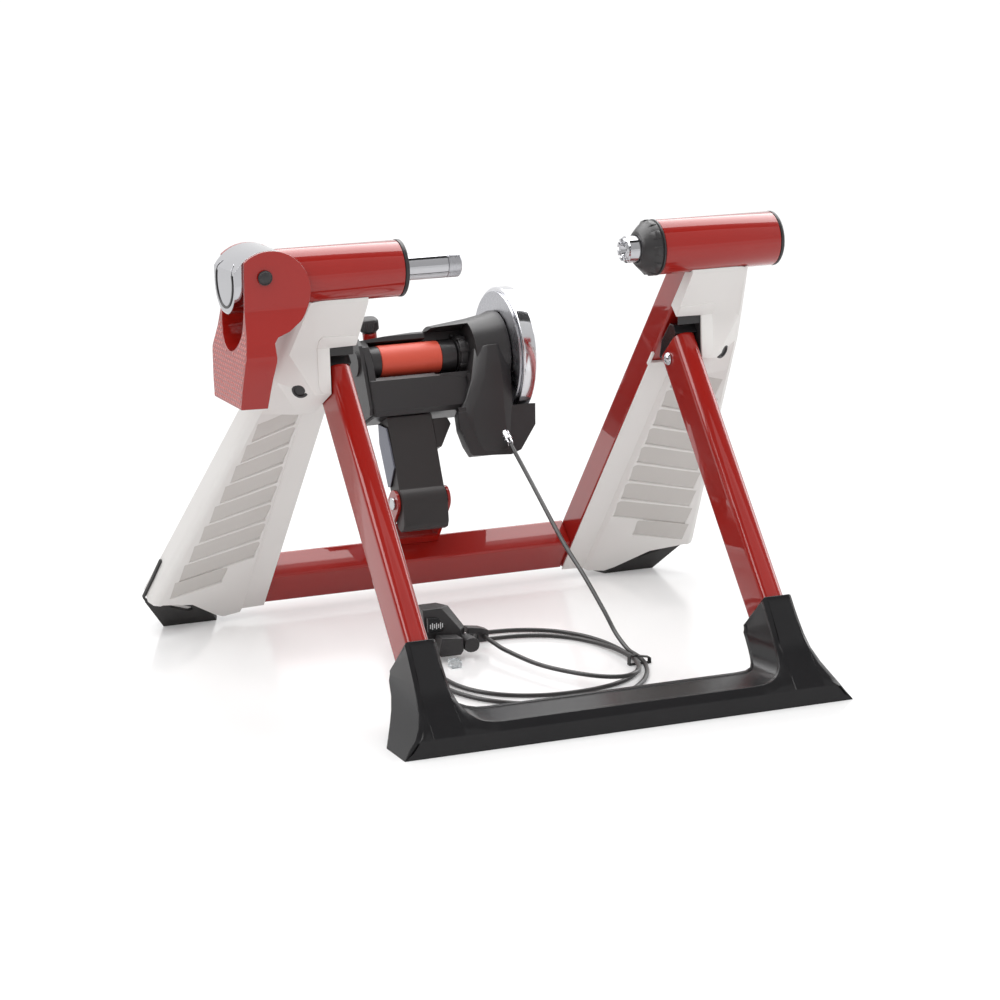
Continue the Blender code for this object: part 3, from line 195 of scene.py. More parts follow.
@dataclass(frozen=True)
class Finish:
    """One procedural surface on Object coordinates.

    Attributes:
        name: The material's name.
        slot: The record's material slot that it answers to. Not used.
        colour: Main colour, linear.
        drift: The colour that it wanders to over a few centimetres.
        roughness: Lowest and highest roughness.
        metallic: Metallic value.
        coat: Clear coat weight.
        coat_roughness: Clear coat roughness.
        grain: The small relief's direction.
        grain_scale: Waves of the relief per metre.
        grain_depth: Height of the relief, in metres.
        edge: Radius by which the shading rounds hard edges, in metres.
        transmission: Share of light let through.
        specular: Strength of the plain reflection.
    """

    name: str
    slot: str
    colour: tuple[float, float, float]
    drift: tuple[float, float, float]
    roughness: Pair
    metallic: float = 0.0
    coat: float = 0.0
    coat_roughness: float = 0.03
    grain: Grain = Grain.EVEN
    grain_scale: float = 900.0
    grain_depth: float = 0.00004
    edge: float = 0.0006
    transmission: float = 0.0
    specular: float = 0.5

    def material(self) -> bpy.types.Material:
        """Builds the material once and finds it again after that."""
        found = bpy.data.materials.get(self.name)
        if found:
            return found
        made = bpy.data.materials.new(self.name)
        graph = Graph(made)
        place = graph.add("TexCoord", "Object")
        stretch = graph.add("Mapping", "Vector", {"Scale": self.grain.value, "Vector": place})
        relief = graph.add("TexNoise", "Fac", {"Scale": self.grain_scale, "Detail": GRAIN_DETAIL,
                                               "Vector": stretch})
        clouds = graph.add("TexNoise", "Fac", {"Scale": DRIFT_SCALE, "Detail": DRIFT_DETAIL, "Vector": place})
        blend = graph.add("Mix", "Result", {"A": (*self.colour, 1.0), "B": (*self.drift, 1.0),
                                            "Factor": clouds}, data_type="RGBA")
        (low, high), (least, most) = GRAIN_SPAN, self.roughness
        polish = graph.add("MapRange", "Result", {"From Min": low, "From Max": high, "To Min": least,
                                                  "To Max": most, "Value": relief})
        bump = {"Distance": self.grain_depth, "Height": relief}
        if self.edge:
            bump["Normal"] = graph.add("Bevel", "Normal", {"Radius": self.edge}, samples=4)
        graph.fill(graph.nodes["Principled BSDF"], {
            "Metallic": self.metallic, "Coat Weight": self.coat, "Coat Roughness": self.coat_roughness,
            "Transmission Weight": self.transmission, "Specular IOR Level": self.specular,
            "Base Color": blend, "Roughness": polish, "Normal": graph.add("Bump", "Normal", bump)})
        return made

    def paint(self, piece: Object) -> Object:
        """Puts this finish on every face of a piece."""
        if piece.type == "MESH" and "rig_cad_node" not in piece:
            piece.data.materials.clear()
            piece.data.materials.append(self.material())
        elif piece.material_slots:
            for place in piece.material_slots:
                place.material = self.material()
        else:
            piece.data.materials.append(self.material())
        return piece


CANDY_RED = Finish("candy_red", "frame_red", (0.34, 0.010, 0.005), (0.29, 0.007, 0.004), (0.30, 0.42),
                   coat=1.0, specular=0.1, grain_scale=1400.0, grain_depth=0.000005, edge=0.0010)
# Painted sheen: a paler copy of the lever's red for its studs, standing in for the highlights that the small
# studs catch.
GRIP_RED_SHEEN = Finish("grip_red", "frame_red", (0.58, 0.15, 0.135), (0.52, 0.12, 0.105), (0.26, 0.36), coat=1.0,
                  grain_scale=1400.0, grain_depth=0.000005, edge=0.0003)
COVER_WHITE = Finish("cover_white", "cover_white", (0.80, 0.78, 0.76), (0.76, 0.74, 0.715), (0.30, 0.42),
                     grain_scale=1600.0, grain_depth=0.00003, edge=0.0008)
# Painted shade: a greyer copy of the cover's white, for the panels laid in the rib recesses where shade
# falls.
RIB_RECESS_SHADE = Finish("cover_panel", "cover_white", (0.60, 0.575, 0.55), (0.56, 0.535, 0.51), (0.40, 0.52),
                     grain_scale=1800.0, grain_depth=0.00005, edge=0.0)
CHARCOAL = Finish("charcoal_moulding", "moulded_black", (0.020, 0.018, 0.019), (0.028, 0.026, 0.027),
                  (0.30, 0.44), grain_scale=2200.0, grain_depth=0.00006)
PAINTED_BLACK = Finish("painted_black", "painted_black", (0.045, 0.045, 0.047), (0.060, 0.060, 0.062),
                       (0.34, 0.46), grain_scale=1500.0, grain_depth=0.00004)
PIANO_BLACK = Finish("piano_black", "gloss_black", (0.012, 0.012, 0.013), (0.018, 0.017, 0.018),
                     (0.14, 0.24), grain_scale=700.0, grain_depth=0.000006, edge=0.0012, specular=0.22)
RUBBER = Finish("dull_rubber", "rubber_black", (0.028, 0.027, 0.027), (0.040, 0.038, 0.037), (0.60, 0.82),
                grain_scale=2600.0, grain_depth=0.00010)
SHEATH = Finish("cable_sheath", "rubber_black", (0.022, 0.021, 0.021), (0.030, 0.028, 0.028), (0.28, 0.42),
                grain_scale=1900.0, grain_depth=0.00003, edge=0.0)
CHROME = Finish("bright_chrome", "chrome", (0.56, 0.56, 0.58), (0.48, 0.48, 0.50), (0.05, 0.10),
                metallic=1.0, grain_scale=300.0, grain_depth=0.00001)
TURNED_CHROME = Finish("turned_chrome", "chrome", (0.82, 0.82, 0.84), (0.74, 0.74, 0.77), (0.07, 0.16),
                       metallic=1.0, grain=Grain.TURNED_X, grain_scale=1800.0, grain_depth=0.00001)
STEEL = Finish("machined_steel", "steel", (0.52, 0.52, 0.54), (0.44, 0.44, 0.47), (0.22, 0.36),
               metallic=1.0, grain=Grain.TURNED_X, grain_scale=2500.0, grain_depth=0.00002)
ROLLER_RED = Finish("roller_elastomer", "roller_orange", (0.66, 0.085, 0.045), (0.58, 0.070, 0.038),
                    (0.38, 0.52), grain=Grain.TURNED_X, grain_scale=2400.0, grain_depth=0.00005)
BLUE_GREY = Finish("blue_grey_plate", "plate_blue_grey", (0.17, 0.175, 0.21), (0.14, 0.145, 0.18),
                   (0.26, 0.40), metallic=0.9, grain_scale=1200.0, grain_depth=0.00002)
CLEAR = Finish("clear_moulding", "clear_plastic", (0.86, 0.89, 0.90), (0.80, 0.84, 0.86), (0.05, 0.12),
               transmission=0.75, grain_scale=200.0, grain_depth=0.00002)
PALE_MARK = Finish("pale_marking", "cover_white", (0.72, 0.72, 0.72), (0.66, 0.66, 0.67), (0.45, 0.55))


class Bench:
    """The modelling operators, each acting on one chosen object."""

    @staticmethod
    def choose(piece: Object) -> Object:
        """Selects this object alone and makes it active."""
        bpy.ops.object.select_all(action="DESELECT")
        piece.select_set(True)
        bpy.context.view_layer.objects.active = piece
        return piece

    @staticmethod
    def linked(name: str, data: bpy.types.ID) -> Object:
        """Puts data into the scene as a new object."""
        made = bpy.data.objects.new(name, data)
        bpy.context.scene.collection.objects.link(made)
        return made

    @staticmethod
    def primitive(operator: Callable, name: str, **settings: object) -> Object:
        """Adds a ready shape with its operator, alone and under a name."""
        bpy.ops.object.select_all(action="DESELECT")
        operator(**settings)
        piece = bpy.context.active_object
        piece.name = name
        return piece

    @classmethod
    def edit(cls, piece: Object) -> None:
        """Opens this object alone for editing, with all of it selected."""
        cls.choose(piece)
        bpy.ops.object.mode_set(mode="EDIT")
        bpy.ops.mesh.select_all(action="SELECT")

    @staticmethod
    def close() -> None:
        """Leaves edit mode."""
        bpy.ops.object.mode_set(mode="OBJECT")

    @classmethod
    def modify(cls, piece: Object, kind: str, **settings: object) -> None:
        """Adds a modifier of this kind with these settings and applies it."""
        cls.choose(piece)
        modifier = piece.modifiers.new(kind.title(), kind)
        for name, value in settings.items():
            setattr(modifier, name, value)
        bpy.ops.object.modifier_apply(modifier=modifier.name)

    @classmethod
    def bevel(cls, piece: Object, width: float, angle: float = 0.0, segments: int = 2) -> None:
        """Rounds the edges sharper than an angle in degrees, or for 0 all of them."""
        cls.modify(piece, "BEVEL", width=width, segments=segments, angle_limit=math.radians(angle),
                   limit_method="ANGLE" if angle else "NONE")

    @classmethod
    def smooth(cls, piece: Object, angle: float) -> Object:
        """Shades a piece smooth up to an angle in degrees."""
        cls.choose(piece)
        bpy.ops.object.shade_smooth_by_angle(angle=math.radians(angle))
        return piece

    @classmethod
    def place(cls, piece: Object, matrix: Matrix) -> Object:
        """Moves a mesh into a frame, leaving its object at the origin."""
        piece.data.transform(matrix @ piece.matrix_world)
        piece.matrix_world = Matrix.Identity(4)
        if matrix.determinant() < 0:
            piece.data.flip_normals()
        return piece

    @classmethod
    def turned(cls, name: str, profile: Profile, matrix: Matrix, steps: int = 64) -> Object:
        """Turns a closed or capped profile round the frame's third axis.

        Args:
            name: The piece's name.
            profile: Radius and distance along the axis of each ring, in order.
            matrix: The frame that it stands in.
            steps: Vertices in each ring.

        Returns:
            The new object.
        """
        (radius, start), rest = profile[0], profile[1:]
        piece = cls.primitive(bpy.ops.mesh.primitive_circle_add, name, vertices=steps,
                              radius=max(radius, LEAST_RADIUS), location=(0, 0, start))
        piece.data.transform(Matrix.Translation((0, 0, start)))
        piece.location = (0, 0, 0)
        cls.edit(piece)
        for wide, high in rest:
            bpy.ops.mesh.extrude_region()
            grow = max(wide, LEAST_RADIUS) / max(radius, LEAST_RADIUS)
            bpy.ops.transform.resize(value=(grow, grow, 1.0), center_override=(0.0, 0.0, start))
            bpy.ops.transform.translate(value=(0.0, 0.0, high - start))
            radius, start = wide, high
        bpy.ops.mesh.select_all(action="SELECT")
        bpy.ops.mesh.remove_doubles(threshold=WELD)
        bpy.ops.mesh.normals_make_consistent(inside=False)
        cls.close()
        return cls.place(piece, matrix)

    @classmethod
    def block(cls, name: str, low: Point, high: Point, matrix: Matrix, edge: float = 0.0) -> Object:
        """Makes a box between the lowest and highest corner in a frame, its edges rounded by this much."""
        middle = (Vector(low) + Vector(high)) / 2
        piece = cls.primitive(bpy.ops.mesh.primitive_cube_add, name, size=1.0, location=middle,
                              scale=Vector(high) - Vector(low))
        bpy.context.view_layer.update()
        cls.place(piece, Matrix.Identity(4))
        if edge:
            cls.bevel(piece, edge, segments=3)
        return cls.place(piece, matrix)

    @classmethod
    def faced(cls, name: str, points: Sequence[Point], faces: Sequence, matrix: Matrix) -> Object:
        """Makes a mesh of these points and faces in a frame, with its normals outward."""
        mesh = bpy.data.meshes.new(name)
        mesh.from_pydata([tuple(point) for point in points], [], faces)
        piece = cls.linked(name, mesh)
        cls.edit(piece)
        bpy.ops.mesh.remove_doubles(threshold=LOFT_WELD)
        bpy.ops.mesh.normals_make_consistent(inside=False)
        cls.close()
        return cls.place(piece, matrix)

    @classmethod
    def lofted(cls, name: str, rings: Sequence[Sequence[Point]], matrix: Matrix) -> Object:
        """Skins a row of closed rings of equally many points, and caps its ends."""
        count = len(rings[0])
        corners = [point for ring in rings for point in ring]
        faces = [tuple(range(count)), tuple(range(len(corners) - count, len(corners)))]
        for row in range(len(rings) - 1):
            for k in range(count):
                a, b = row * count + k, row * count + (k + 1) % count
                faces.append((a, b, b + count, a + count))
        return cls.faced(name, corners, faces, matrix)

    @classmethod
    def joined(cls, name: str, pieces: Sequence[Object]) -> Object:
        """Joins loose shapes into one piece of this name."""
        cls.choose(pieces[0])
        for piece in pieces:
            piece.select_set(True)
        bpy.ops.object.join()
        pieces[0].name = name
        return pieces[0]

    @classmethod
    def refined(cls, node: str, edge: float, angle: float = 40.0, segments: int = 2) -> Object:
        """Copies a CAD node, welds it, rounds its hard edges and shades it smooth.

        Args:
            node: The CAD node's name.
            edge: Rounding of its hard edges, or 0 for none.
            angle: Edges sharper than this many degrees are hard.
            segments: Faces across a rounded edge.

        Returns:
            The copy, which replaces the node.
        """
        source = frame["nodes"][node]
        piece = cls.linked(node + "_dressed", source.data.copy())
        cls.choose(piece)
        bpy.ops.mesh.customdata_custom_splitnormals_clear()
        cls.edit(piece)
        bpy.ops.mesh.remove_doubles(threshold=WELD)
        bpy.ops.mesh.dissolve_limited(angle_limit=FLAT)
        cls.close()
        if edge:
            cls.bevel(piece, edge, angle, segments)
        cls.smooth(piece, angle)
        cls.modify(piece, "WEIGHTED_NORMAL", keep_sharp=True, weight=80)
        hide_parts(node)
        return piece


@dataclass
class SubAssembly:
    """A group of pieces that are built together.

    Attributes:
        body: The CAD body that its pieces ride on, unless they say otherwise.
        pieces: What has been built so far.
    """

    body: str = "rear_frame"
    pieces: list[Object] = field(default_factory=list)

    def add(self, piece: Object, finish: Finish, body: str = "") -> Object:
        """Paints a piece, lets it ride on this body or on the assembly's own, and notes it."""
        finish.paint(piece)
        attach(piece, body or self.body)
        self.pieces.append(piece)
        log.info("%s on %s", piece.name, body or self.body)
        return piece

    def refine(self, names: Iterable[str], finish: Finish, edge: float, angle: float = 40.0,
               segments: int = 2) -> None:
        """Replaces CAD nodes with painted copies that Bench.refined makes, on the nodes' own bodies."""
        for name in names:
            body = frame["nodes"][name]["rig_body"]
            self.add(Bench.refined(name, edge, angle, segments), finish, body)

    def stand_in(self, piece: Object, node: str, finish: Finish) -> Object:
        """Lets a new piece replace a CAD node on the node's own body."""
        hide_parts(node)
        return self.add(piece, finish, frame["nodes"][node]["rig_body"])

    @staticmethod
    def both(stem: str) -> tuple[str, str]:
        """Returns the left and right names of a paired node."""
        return f"{stem}_{Side.LEFT.word}", f"{stem}_{Side.RIGHT.word}"


@dataclass
class Studio:
    """The camera, lights, floor and world."""

    camera_at: Point = (-1.1576, -2.7884, 0.8211)
    azimuth: float = -22.607
    elevation: float = 12.675
    roll: float = -1.04
    lens: float = 119.45
    sensor: float = 36.0
    floor_size: float = 80.0
    floor_colour: Row = (0.93, 0.93, 0.93, 1.0)
    floor_roughness: float = 0.16
    floor_lift: float = 0.16
    floor_skin: float = 0.001
    card_colour: Row = (0.02, 0.02, 0.02, 1.0)
    side_card_at: Pair = (-4.5, -0.5)
    side_card_size: Pair = (8.0, 1.3)
    strip_away: float = 3.0
    strip_length: float = 24.0
    sky: float = 0.80

    def build(self) -> None:
        """Makes the camera, the floor, the lamps, the cards and the world."""
        self.camera()
        self.floor()
        self.lamp("key", place=(-1.2, -1.3, 2.3), target=(0.0, 0.0, 0.15), size=1.8, power=22.0)
        self.lamp("fill", place=(2.2, -1.2, 1.5), target=(0.1, 0.0, 0.2), size=1.6, power=12.0)
        self.lamp("top", place=(0.2, 0.9, 2.4), target=(0.0, 0.1, 0.2), size=1.5, power=12.0)
        (x, y), (wide, tall) = self.side_card_at, self.side_card_size
        stand = Matrix(((0, 0, -1, x), (wide, 0, 0, y), (0, tall, 0, tall / 2), (0, 0, 0, 1)))
        self.card("card_left", stand, glow=0.0)
        self.strip("strip_front", start=4.0, end=60.0, glow=0.55)
        self.strip("strip_dark", start=62.0, end=86.0, glow=0.0)
        self.strip("strip_bright", start=87.0, end=150.0, glow=4.5)
        self.world()

    def camera(self) -> None:
        """Places the camera where the photograph was taken from."""
        turn, rise, tilt = (math.radians(a) for a in (self.azimuth, self.elevation, self.roll))
        back = Vector((math.sin(turn) * math.cos(rise), -math.cos(turn) * math.cos(rise), math.sin(rise)))
        level = Vector((math.cos(turn), math.sin(turn), 0.0))
        upright = back.cross(level)
        right = level * math.cos(tilt) + upright * math.sin(tilt)
        above = upright * math.cos(tilt) - level * math.sin(tilt)
        data = bpy.data.cameras.new("camera")
        data.lens = self.lens
        data.sensor_width = self.sensor
        holder = Bench.linked("camera", data)
        columns = Matrix((right, above, back)).transposed().to_4x4()
        holder.matrix_world = Matrix.Translation(self.camera_at) @ columns
        bpy.context.scene.camera = holder

    def floor(self) -> None:
        """Lays the white floor, which keeps shadows and a faint reflection."""
        floor = Bench.primitive(bpy.ops.mesh.primitive_plane_add, "floor", size=self.floor_size)
        made = bpy.data.materials.new("floor")
        graph = Graph(made)
        seen = graph.add("LightPath", "Is Camera Ray")
        lift = graph.add("Math", "Value", {0: seen, 1: self.floor_lift}, operation="MULTIPLY")
        graph.fill(graph.nodes["Principled BSDF"], {
            "Base Color": self.floor_colour, "Roughness": self.floor_roughness, "Emission Color": WHITE,
            "Emission Strength": lift})
        floor.data.materials.append(made)

    @staticmethod
    def lamp(name: str, place: Point, target: Point, size: float, power: float) -> None:
        """Hangs a square soft lamp of this side and wattage at a place, pointed at a target."""
        data = bpy.data.lights.new(name, "AREA")
        data.size = size
        data.energy = power
        holder = Bench.linked(name, data)
        aim = (Vector(target) - Vector(place)).to_track_quat("-Z", "Y")
        holder.matrix_world = Matrix.Translation(place) @ aim.to_matrix().to_4x4()
        holder.visible_glossy = False

    def strip(self, name: str, start: float, end: float, glow: float) -> None:
        """Hangs a long card over the axle, between two height angles in degrees as the barrels see it."""
        edges = [Vector((0.0, -self.strip_away * math.cos(a), AXLE_Z + self.strip_away * math.sin(a)))
                 for a in map(math.radians, (start, end))]
        middle, span = (edges[0] + edges[1]) / 2, edges[1] - edges[0]
        facing = Vector((1.0, 0.0, 0.0)).cross(span.normalized())
        columns = Matrix((Vector((self.strip_length, 0.0, 0.0)), span, facing)).transposed().to_4x4()
        self.card(name, Matrix.Translation(middle) @ columns, glow)

    def card(self, name: str, stand: Matrix, glow: float) -> None:
        """Stands a card that the object's reflections show, and the floor's don't.

        Rays that start below floor_skin come from the floor, and pass through it.

        Args:
            name: Its name.
            stand: Where its unit square goes.
            glow: How brightly it shines, 0 for a dark one.
        """
        card = Bench.place(Bench.primitive(bpy.ops.mesh.primitive_plane_add, name, size=1.0), stand)
        made = bpy.data.materials.new(name)
        graph = Graph(made)
        shader, here = graph.nodes["Principled BSDF"], graph.nodes.new("ShaderNodeNewGeometry").outputs
        graph.fill(shader, {"Base Color": self.card_colour, "Emission Color": WHITE,
                            "Emission Strength": glow})
        length = graph.add("LightPath", "Ray Length")
        source = graph.add("VectorMath", "Vector", {0: here["Incoming"], 1: length, 2: here["Position"]},
                           operation="MULTIPLY_ADD")
        height = graph.add("SeparateXYZ", "Z", {"Vector": source})
        above = graph.add("Math", "Value", {0: height, 1: self.floor_skin}, operation="GREATER_THAN")
        mixed = graph.add("MixShader", "Shader", {
            "Fac": above, 1: graph.add("BsdfTransparent", "BSDF"), 2: shader.outputs["BSDF"]})
        graph.fill(graph.nodes["Material Output"], {"Surface": mixed})
        card.data.materials.append(made)
        card.visible_camera = False
        card.visible_diffuse = False
        card.visible_transmission = False
        card.visible_shadow = False

    def world(self) -> None:
        """Lights the scene evenly and shows white to the eye, to metal and to glass."""
        world = bpy.data.worlds.new("studio")
        graph = Graph(world)
        seen = graph.nodes.new("ShaderNodeLightPath").outputs
        level = seen["Is Camera Ray"]
        for ray in ("Is Glossy Ray", "Is Transmission Ray"):
            level = graph.add("Math", "Value", {0: level, 1: seen[ray]}, operation="MAXIMUM")
        glow = graph.add("MapRange", "Result", {"To Min": self.sky, "To Max": 1.0, "Value": level})
        graph.fill(graph.nodes["Background"], {"Color": WHITE, "Strength": glow})
        bpy.context.scene.world = world
        bpy.context.scene.view_settings.view_transform = "Standard"


@dataclass
class Cable(SubAssembly):
    """The remote's cable: down from the unit, twice round a flat coil, and on to the remote.

    The rows reach_x, reach_y and power give the coil's half width, half depth and squareness by turn.
    """

    radius: float = 0.0021
    spacing: float = 0.0050
    floor_z: float = 0.0025
    ferrule_at: Point = mm((85, 257, 162))
    ferrule_axis: Point = (0.055, -0.80, -0.597)
    ferrule_out: float = 0.0099
    straight: float = 0.0060
    run_via: Sequence[Point] = mm(((89.5, 211.9, 127.1), (93.5, 145.1, 80.4), (96.5, 99.7, 54),
                                   (99, 58.8, 27.5), (100.3, 37, 12)))
    tail_via: Sequence[Point] = mm(((86.8, -30, 6.4), (77, -62, 8.8), (64, -87, 11), (44, -96, 11),
                                    (20, -76, 10.5), (-3, -25, 9.5), (-14, 30, 11), (-16.2, 56, 12.5)))
    tail_end: Point = mm((-16, 80.1, 13))
    loops: int = 2
    steps: int = 26
    start_angle: float = math.radians(4.0)
    rise: float = 0.12
    lift: float = 0.0025
    reach_x: Sequence[Row] = ((0.0, 0.5, 1.0, 1.5, 2.0), (0.1005, 0.1030, 0.0945, 0.0905, 0.0885))
    reach_y: Sequence[Row] = ((0.0, 0.25, 0.75, 0.96, 1.02, 1.25, 1.75, 2.0),
                              (0.1310, 0.1310, 0.1300, 0.1250, 0.0990, 0.0965, 0.1060, 0.1050))
    power: Sequence[Row] = ((0.0, 0.25, 0.4, 0.5, 0.6, 1.0, 1.1, 1.25, 1.5, 1.6, 2.0),
                            (1.8, 1.8, 2.3, 2.3, 2.5, 2.5, 2.1, 2.1, 2.3, 2.5, 2.5))
    band: Profile = mm(((81.6, 0.4), (82, 8.8), (83.4, 10.2), (102.2, 6.6), (103.6, 5.2), (103.6, 0.4)))
    hollow: Profile = mm(((82.8, 1.2), (83.1, 8.2), (83.9, 9), (101.6, 5.6), (102.4, 4.8), (102.4, 1.2)))
    band_y: Pair = mm((-32.7, -27.3))
    clasp: Sequence[Point] = mm(((86.8, -33, 8.6), (90, -27, 10.4)))
    collar: Profile = mm(((0, -6), (4.6, -6), (4.6, -1), (4.1, -0.6), (4.1, 1.2), (4.6, 1.6), (4.6, 3.6),
                          (3.8, 4), (3.4, 8), (2.9, 9.4), (0, 9.4)))

    def coil_point(self, turn: float) -> np.ndarray:
        """Returns the point of the coil after this many clockwise turns from the tie."""
        angle = self.start_angle - turn * 2 * math.pi
        c, s = abs(math.cos(angle)), abs(math.sin(angle))
        wide = float(np.interp(turn, *self.reach_x))
        deep = float(np.interp(turn, *self.reach_y))
        power = float(np.interp(turn, *self.power))
        radius = ((c / wide) ** power + (s / deep) ** power) ** (-1 / power)
        up = self.lift * (max(turn - self.loops + self.rise, 0.0) / self.rise) ** 2
        return np.array((radius * math.cos(angle), radius * math.sin(angle), self.floor_z + up))

    @staticmethod
    def smoothed(points: Sequence[Point], spacing: float, steps: int = 40) -> np.ndarray:
        """Reads a curve through the given points at an even spacing.

        Args:
            points: The points to pass through.
            spacing: Distance between the points that are read.
            steps: Samples between two given points.

        Returns:
            The points that are read, one a row.
        """
        known = [np.array(p, float) for p in points]
        known = [2 * known[0] - known[1], *known, 2 * known[-1] - known[-2]]
        dense = []
        for a, b, c, d in zip(known, known[1:], known[2:], known[3:]):
            for t in np.linspace(0, 1, steps, endpoint=False):
                dense.append(0.5 * (2 * b + (c - a) * t + (2 * a - 5 * b + 4 * c - d) * t ** 2
                                    + (3 * b - a - 3 * c + d) * t ** 3))
        dense.append(known[-2])
        dense = np.array(dense)
        along = np.concatenate([[0], np.cumsum(np.linalg.norm(np.diff(dense, axis=0), axis=1))])
        marks = np.linspace(0, along[-1], max(int(round(along[-1] / spacing)), 2) + 1)
        return np.stack([np.interp(marks, along, dense[:, k]) for k in range(3)], axis=1)

    def route(self) -> np.ndarray:
        """Returns the whole centreline, from the ferrule to the remote."""
        axis = np.array(Vector(self.ferrule_axis).normalized())
        first = np.array(self.ferrule_at) + axis * self.ferrule_out
        coil = [self.coil_point(k / self.steps) for k in range(self.steps * self.loops + 1)]
        points = [first, first + axis * self.straight, *self.run_via, *coil, *self.tail_via, self.tail_end]
        route = self.smoothed(points, self.spacing)
        route[:, 2] = np.maximum(route[:, 2], self.floor_z)
        return route + np.array((0.0, SHIFT_Y, 0.0))

    def build(self) -> None:
        """Makes the cable, its ferrule and its tie."""
        route = self.route()
        data = bpy.data.curves.new("cable", "CURVE")
        data.dimensions = "3D"
        data.bevel_depth = self.radius
        data.bevel_resolution = 4
        data.use_fill_caps = True
        spline = data.splines.new("POLY")
        spline.points.add(len(route) - 1)
        for point, place in zip(spline.points, route):
            point.co = (*place, 1.0)
        cable = Bench.linked("cable", data)
        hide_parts("cable_run", "cable_coil", "cable_tail")
        self.add(cable, SHEATH)
        self.tie()
        self.ferrule()

    def tie(self) -> None:
        """Wraps the band that holds the coil's turns, with its clasp."""
        front, back = self.band_y
        rings = ((front, self.band), (back, self.band), (back, self.hollow), (front, self.hollow))
        corners = [(x, y, z) for y, outline in rings for x, z in outline]
        count = len(self.band)
        faces = [(a * count + k, a * count + (k + 1) % count, (a + 1) % 4 * count + (k + 1) % count,
                  (a + 1) % 4 * count + k) for a in range(4) for k in range(count)]
        band = Bench.faced("band", corners, faces, PACKED)
        clasp = Bench.block("clasp", *self.clasp, PACKED, edge=0.0004)
        self.stand_in(Bench.joined("cable_tie_band", [band, clasp]), "cable_tie", RUBBER)

    def ferrule(self) -> None:
        """Turns the chrome ferrule with its collar, where the cable leaves the unit."""
        stand = standing(packed(self.ferrule_at), self.ferrule_axis)
        self.stand_in(Bench.turned("cable_ferrule_turned", self.collar, stand, 32), "cable_ferrule", CHROME)


@dataclass
class RearFrame(SubAssembly):
    """The red U of legs, crossbar and barrels, with its brackets."""

    barrel_radius: float = 0.0250
    barrel_wall: float = 0.0025
    barrel_lip: float = 0.0008
    barrel_in: float = 0.1263
    barrel_out: float = 0.2424

    def build(self) -> None:
        """Rounds the legs and brackets and turns the barrels."""
        self.refine([*self.both("rear_leg"), "crossbar"], CANDY_RED, 0.0007)
        self.refine([*self.both("fold_bracket"), "unit_bracket"], CANDY_RED, 0.0005)
        for side in Side:
            self.barrel(side)
        self.refine(["barrel_ring_left", "barrel_cap_right"], CHARCOAL, 0.0005)
        self.refine(["shaft_bush_left", "adjuster_bush"], STEEL, 0.0003)
        self.refine(["unit_pivot_pin"], CHROME, 0.0004)

    def barrel(self, side: Side) -> None:
        """Turns one barrel with rounded lips."""
        outer, inner, lip = self.barrel_radius, self.barrel_radius - self.barrel_wall, self.barrel_lip
        near, far = self.barrel_in, self.barrel_out
        ring = [(outer - lip, near), (outer - lip * 0.3, near + lip * 0.3), (outer, near + lip),
                (outer, far - lip), (outer - lip * 0.3, far - lip * 0.3), (outer - lip, far), (inner, far),
                (inner, near), (outer - lip, near)]
        profile = [(radius, side.value * x) for radius, x in ring]
        name = f"barrel_{side.word}"
        barrel = Bench.turned(name + "_turned", profile, AXLE, 96)
        Bench.smooth(barrel, 40.0)
        self.stand_in(barrel, name, CANDY_RED)


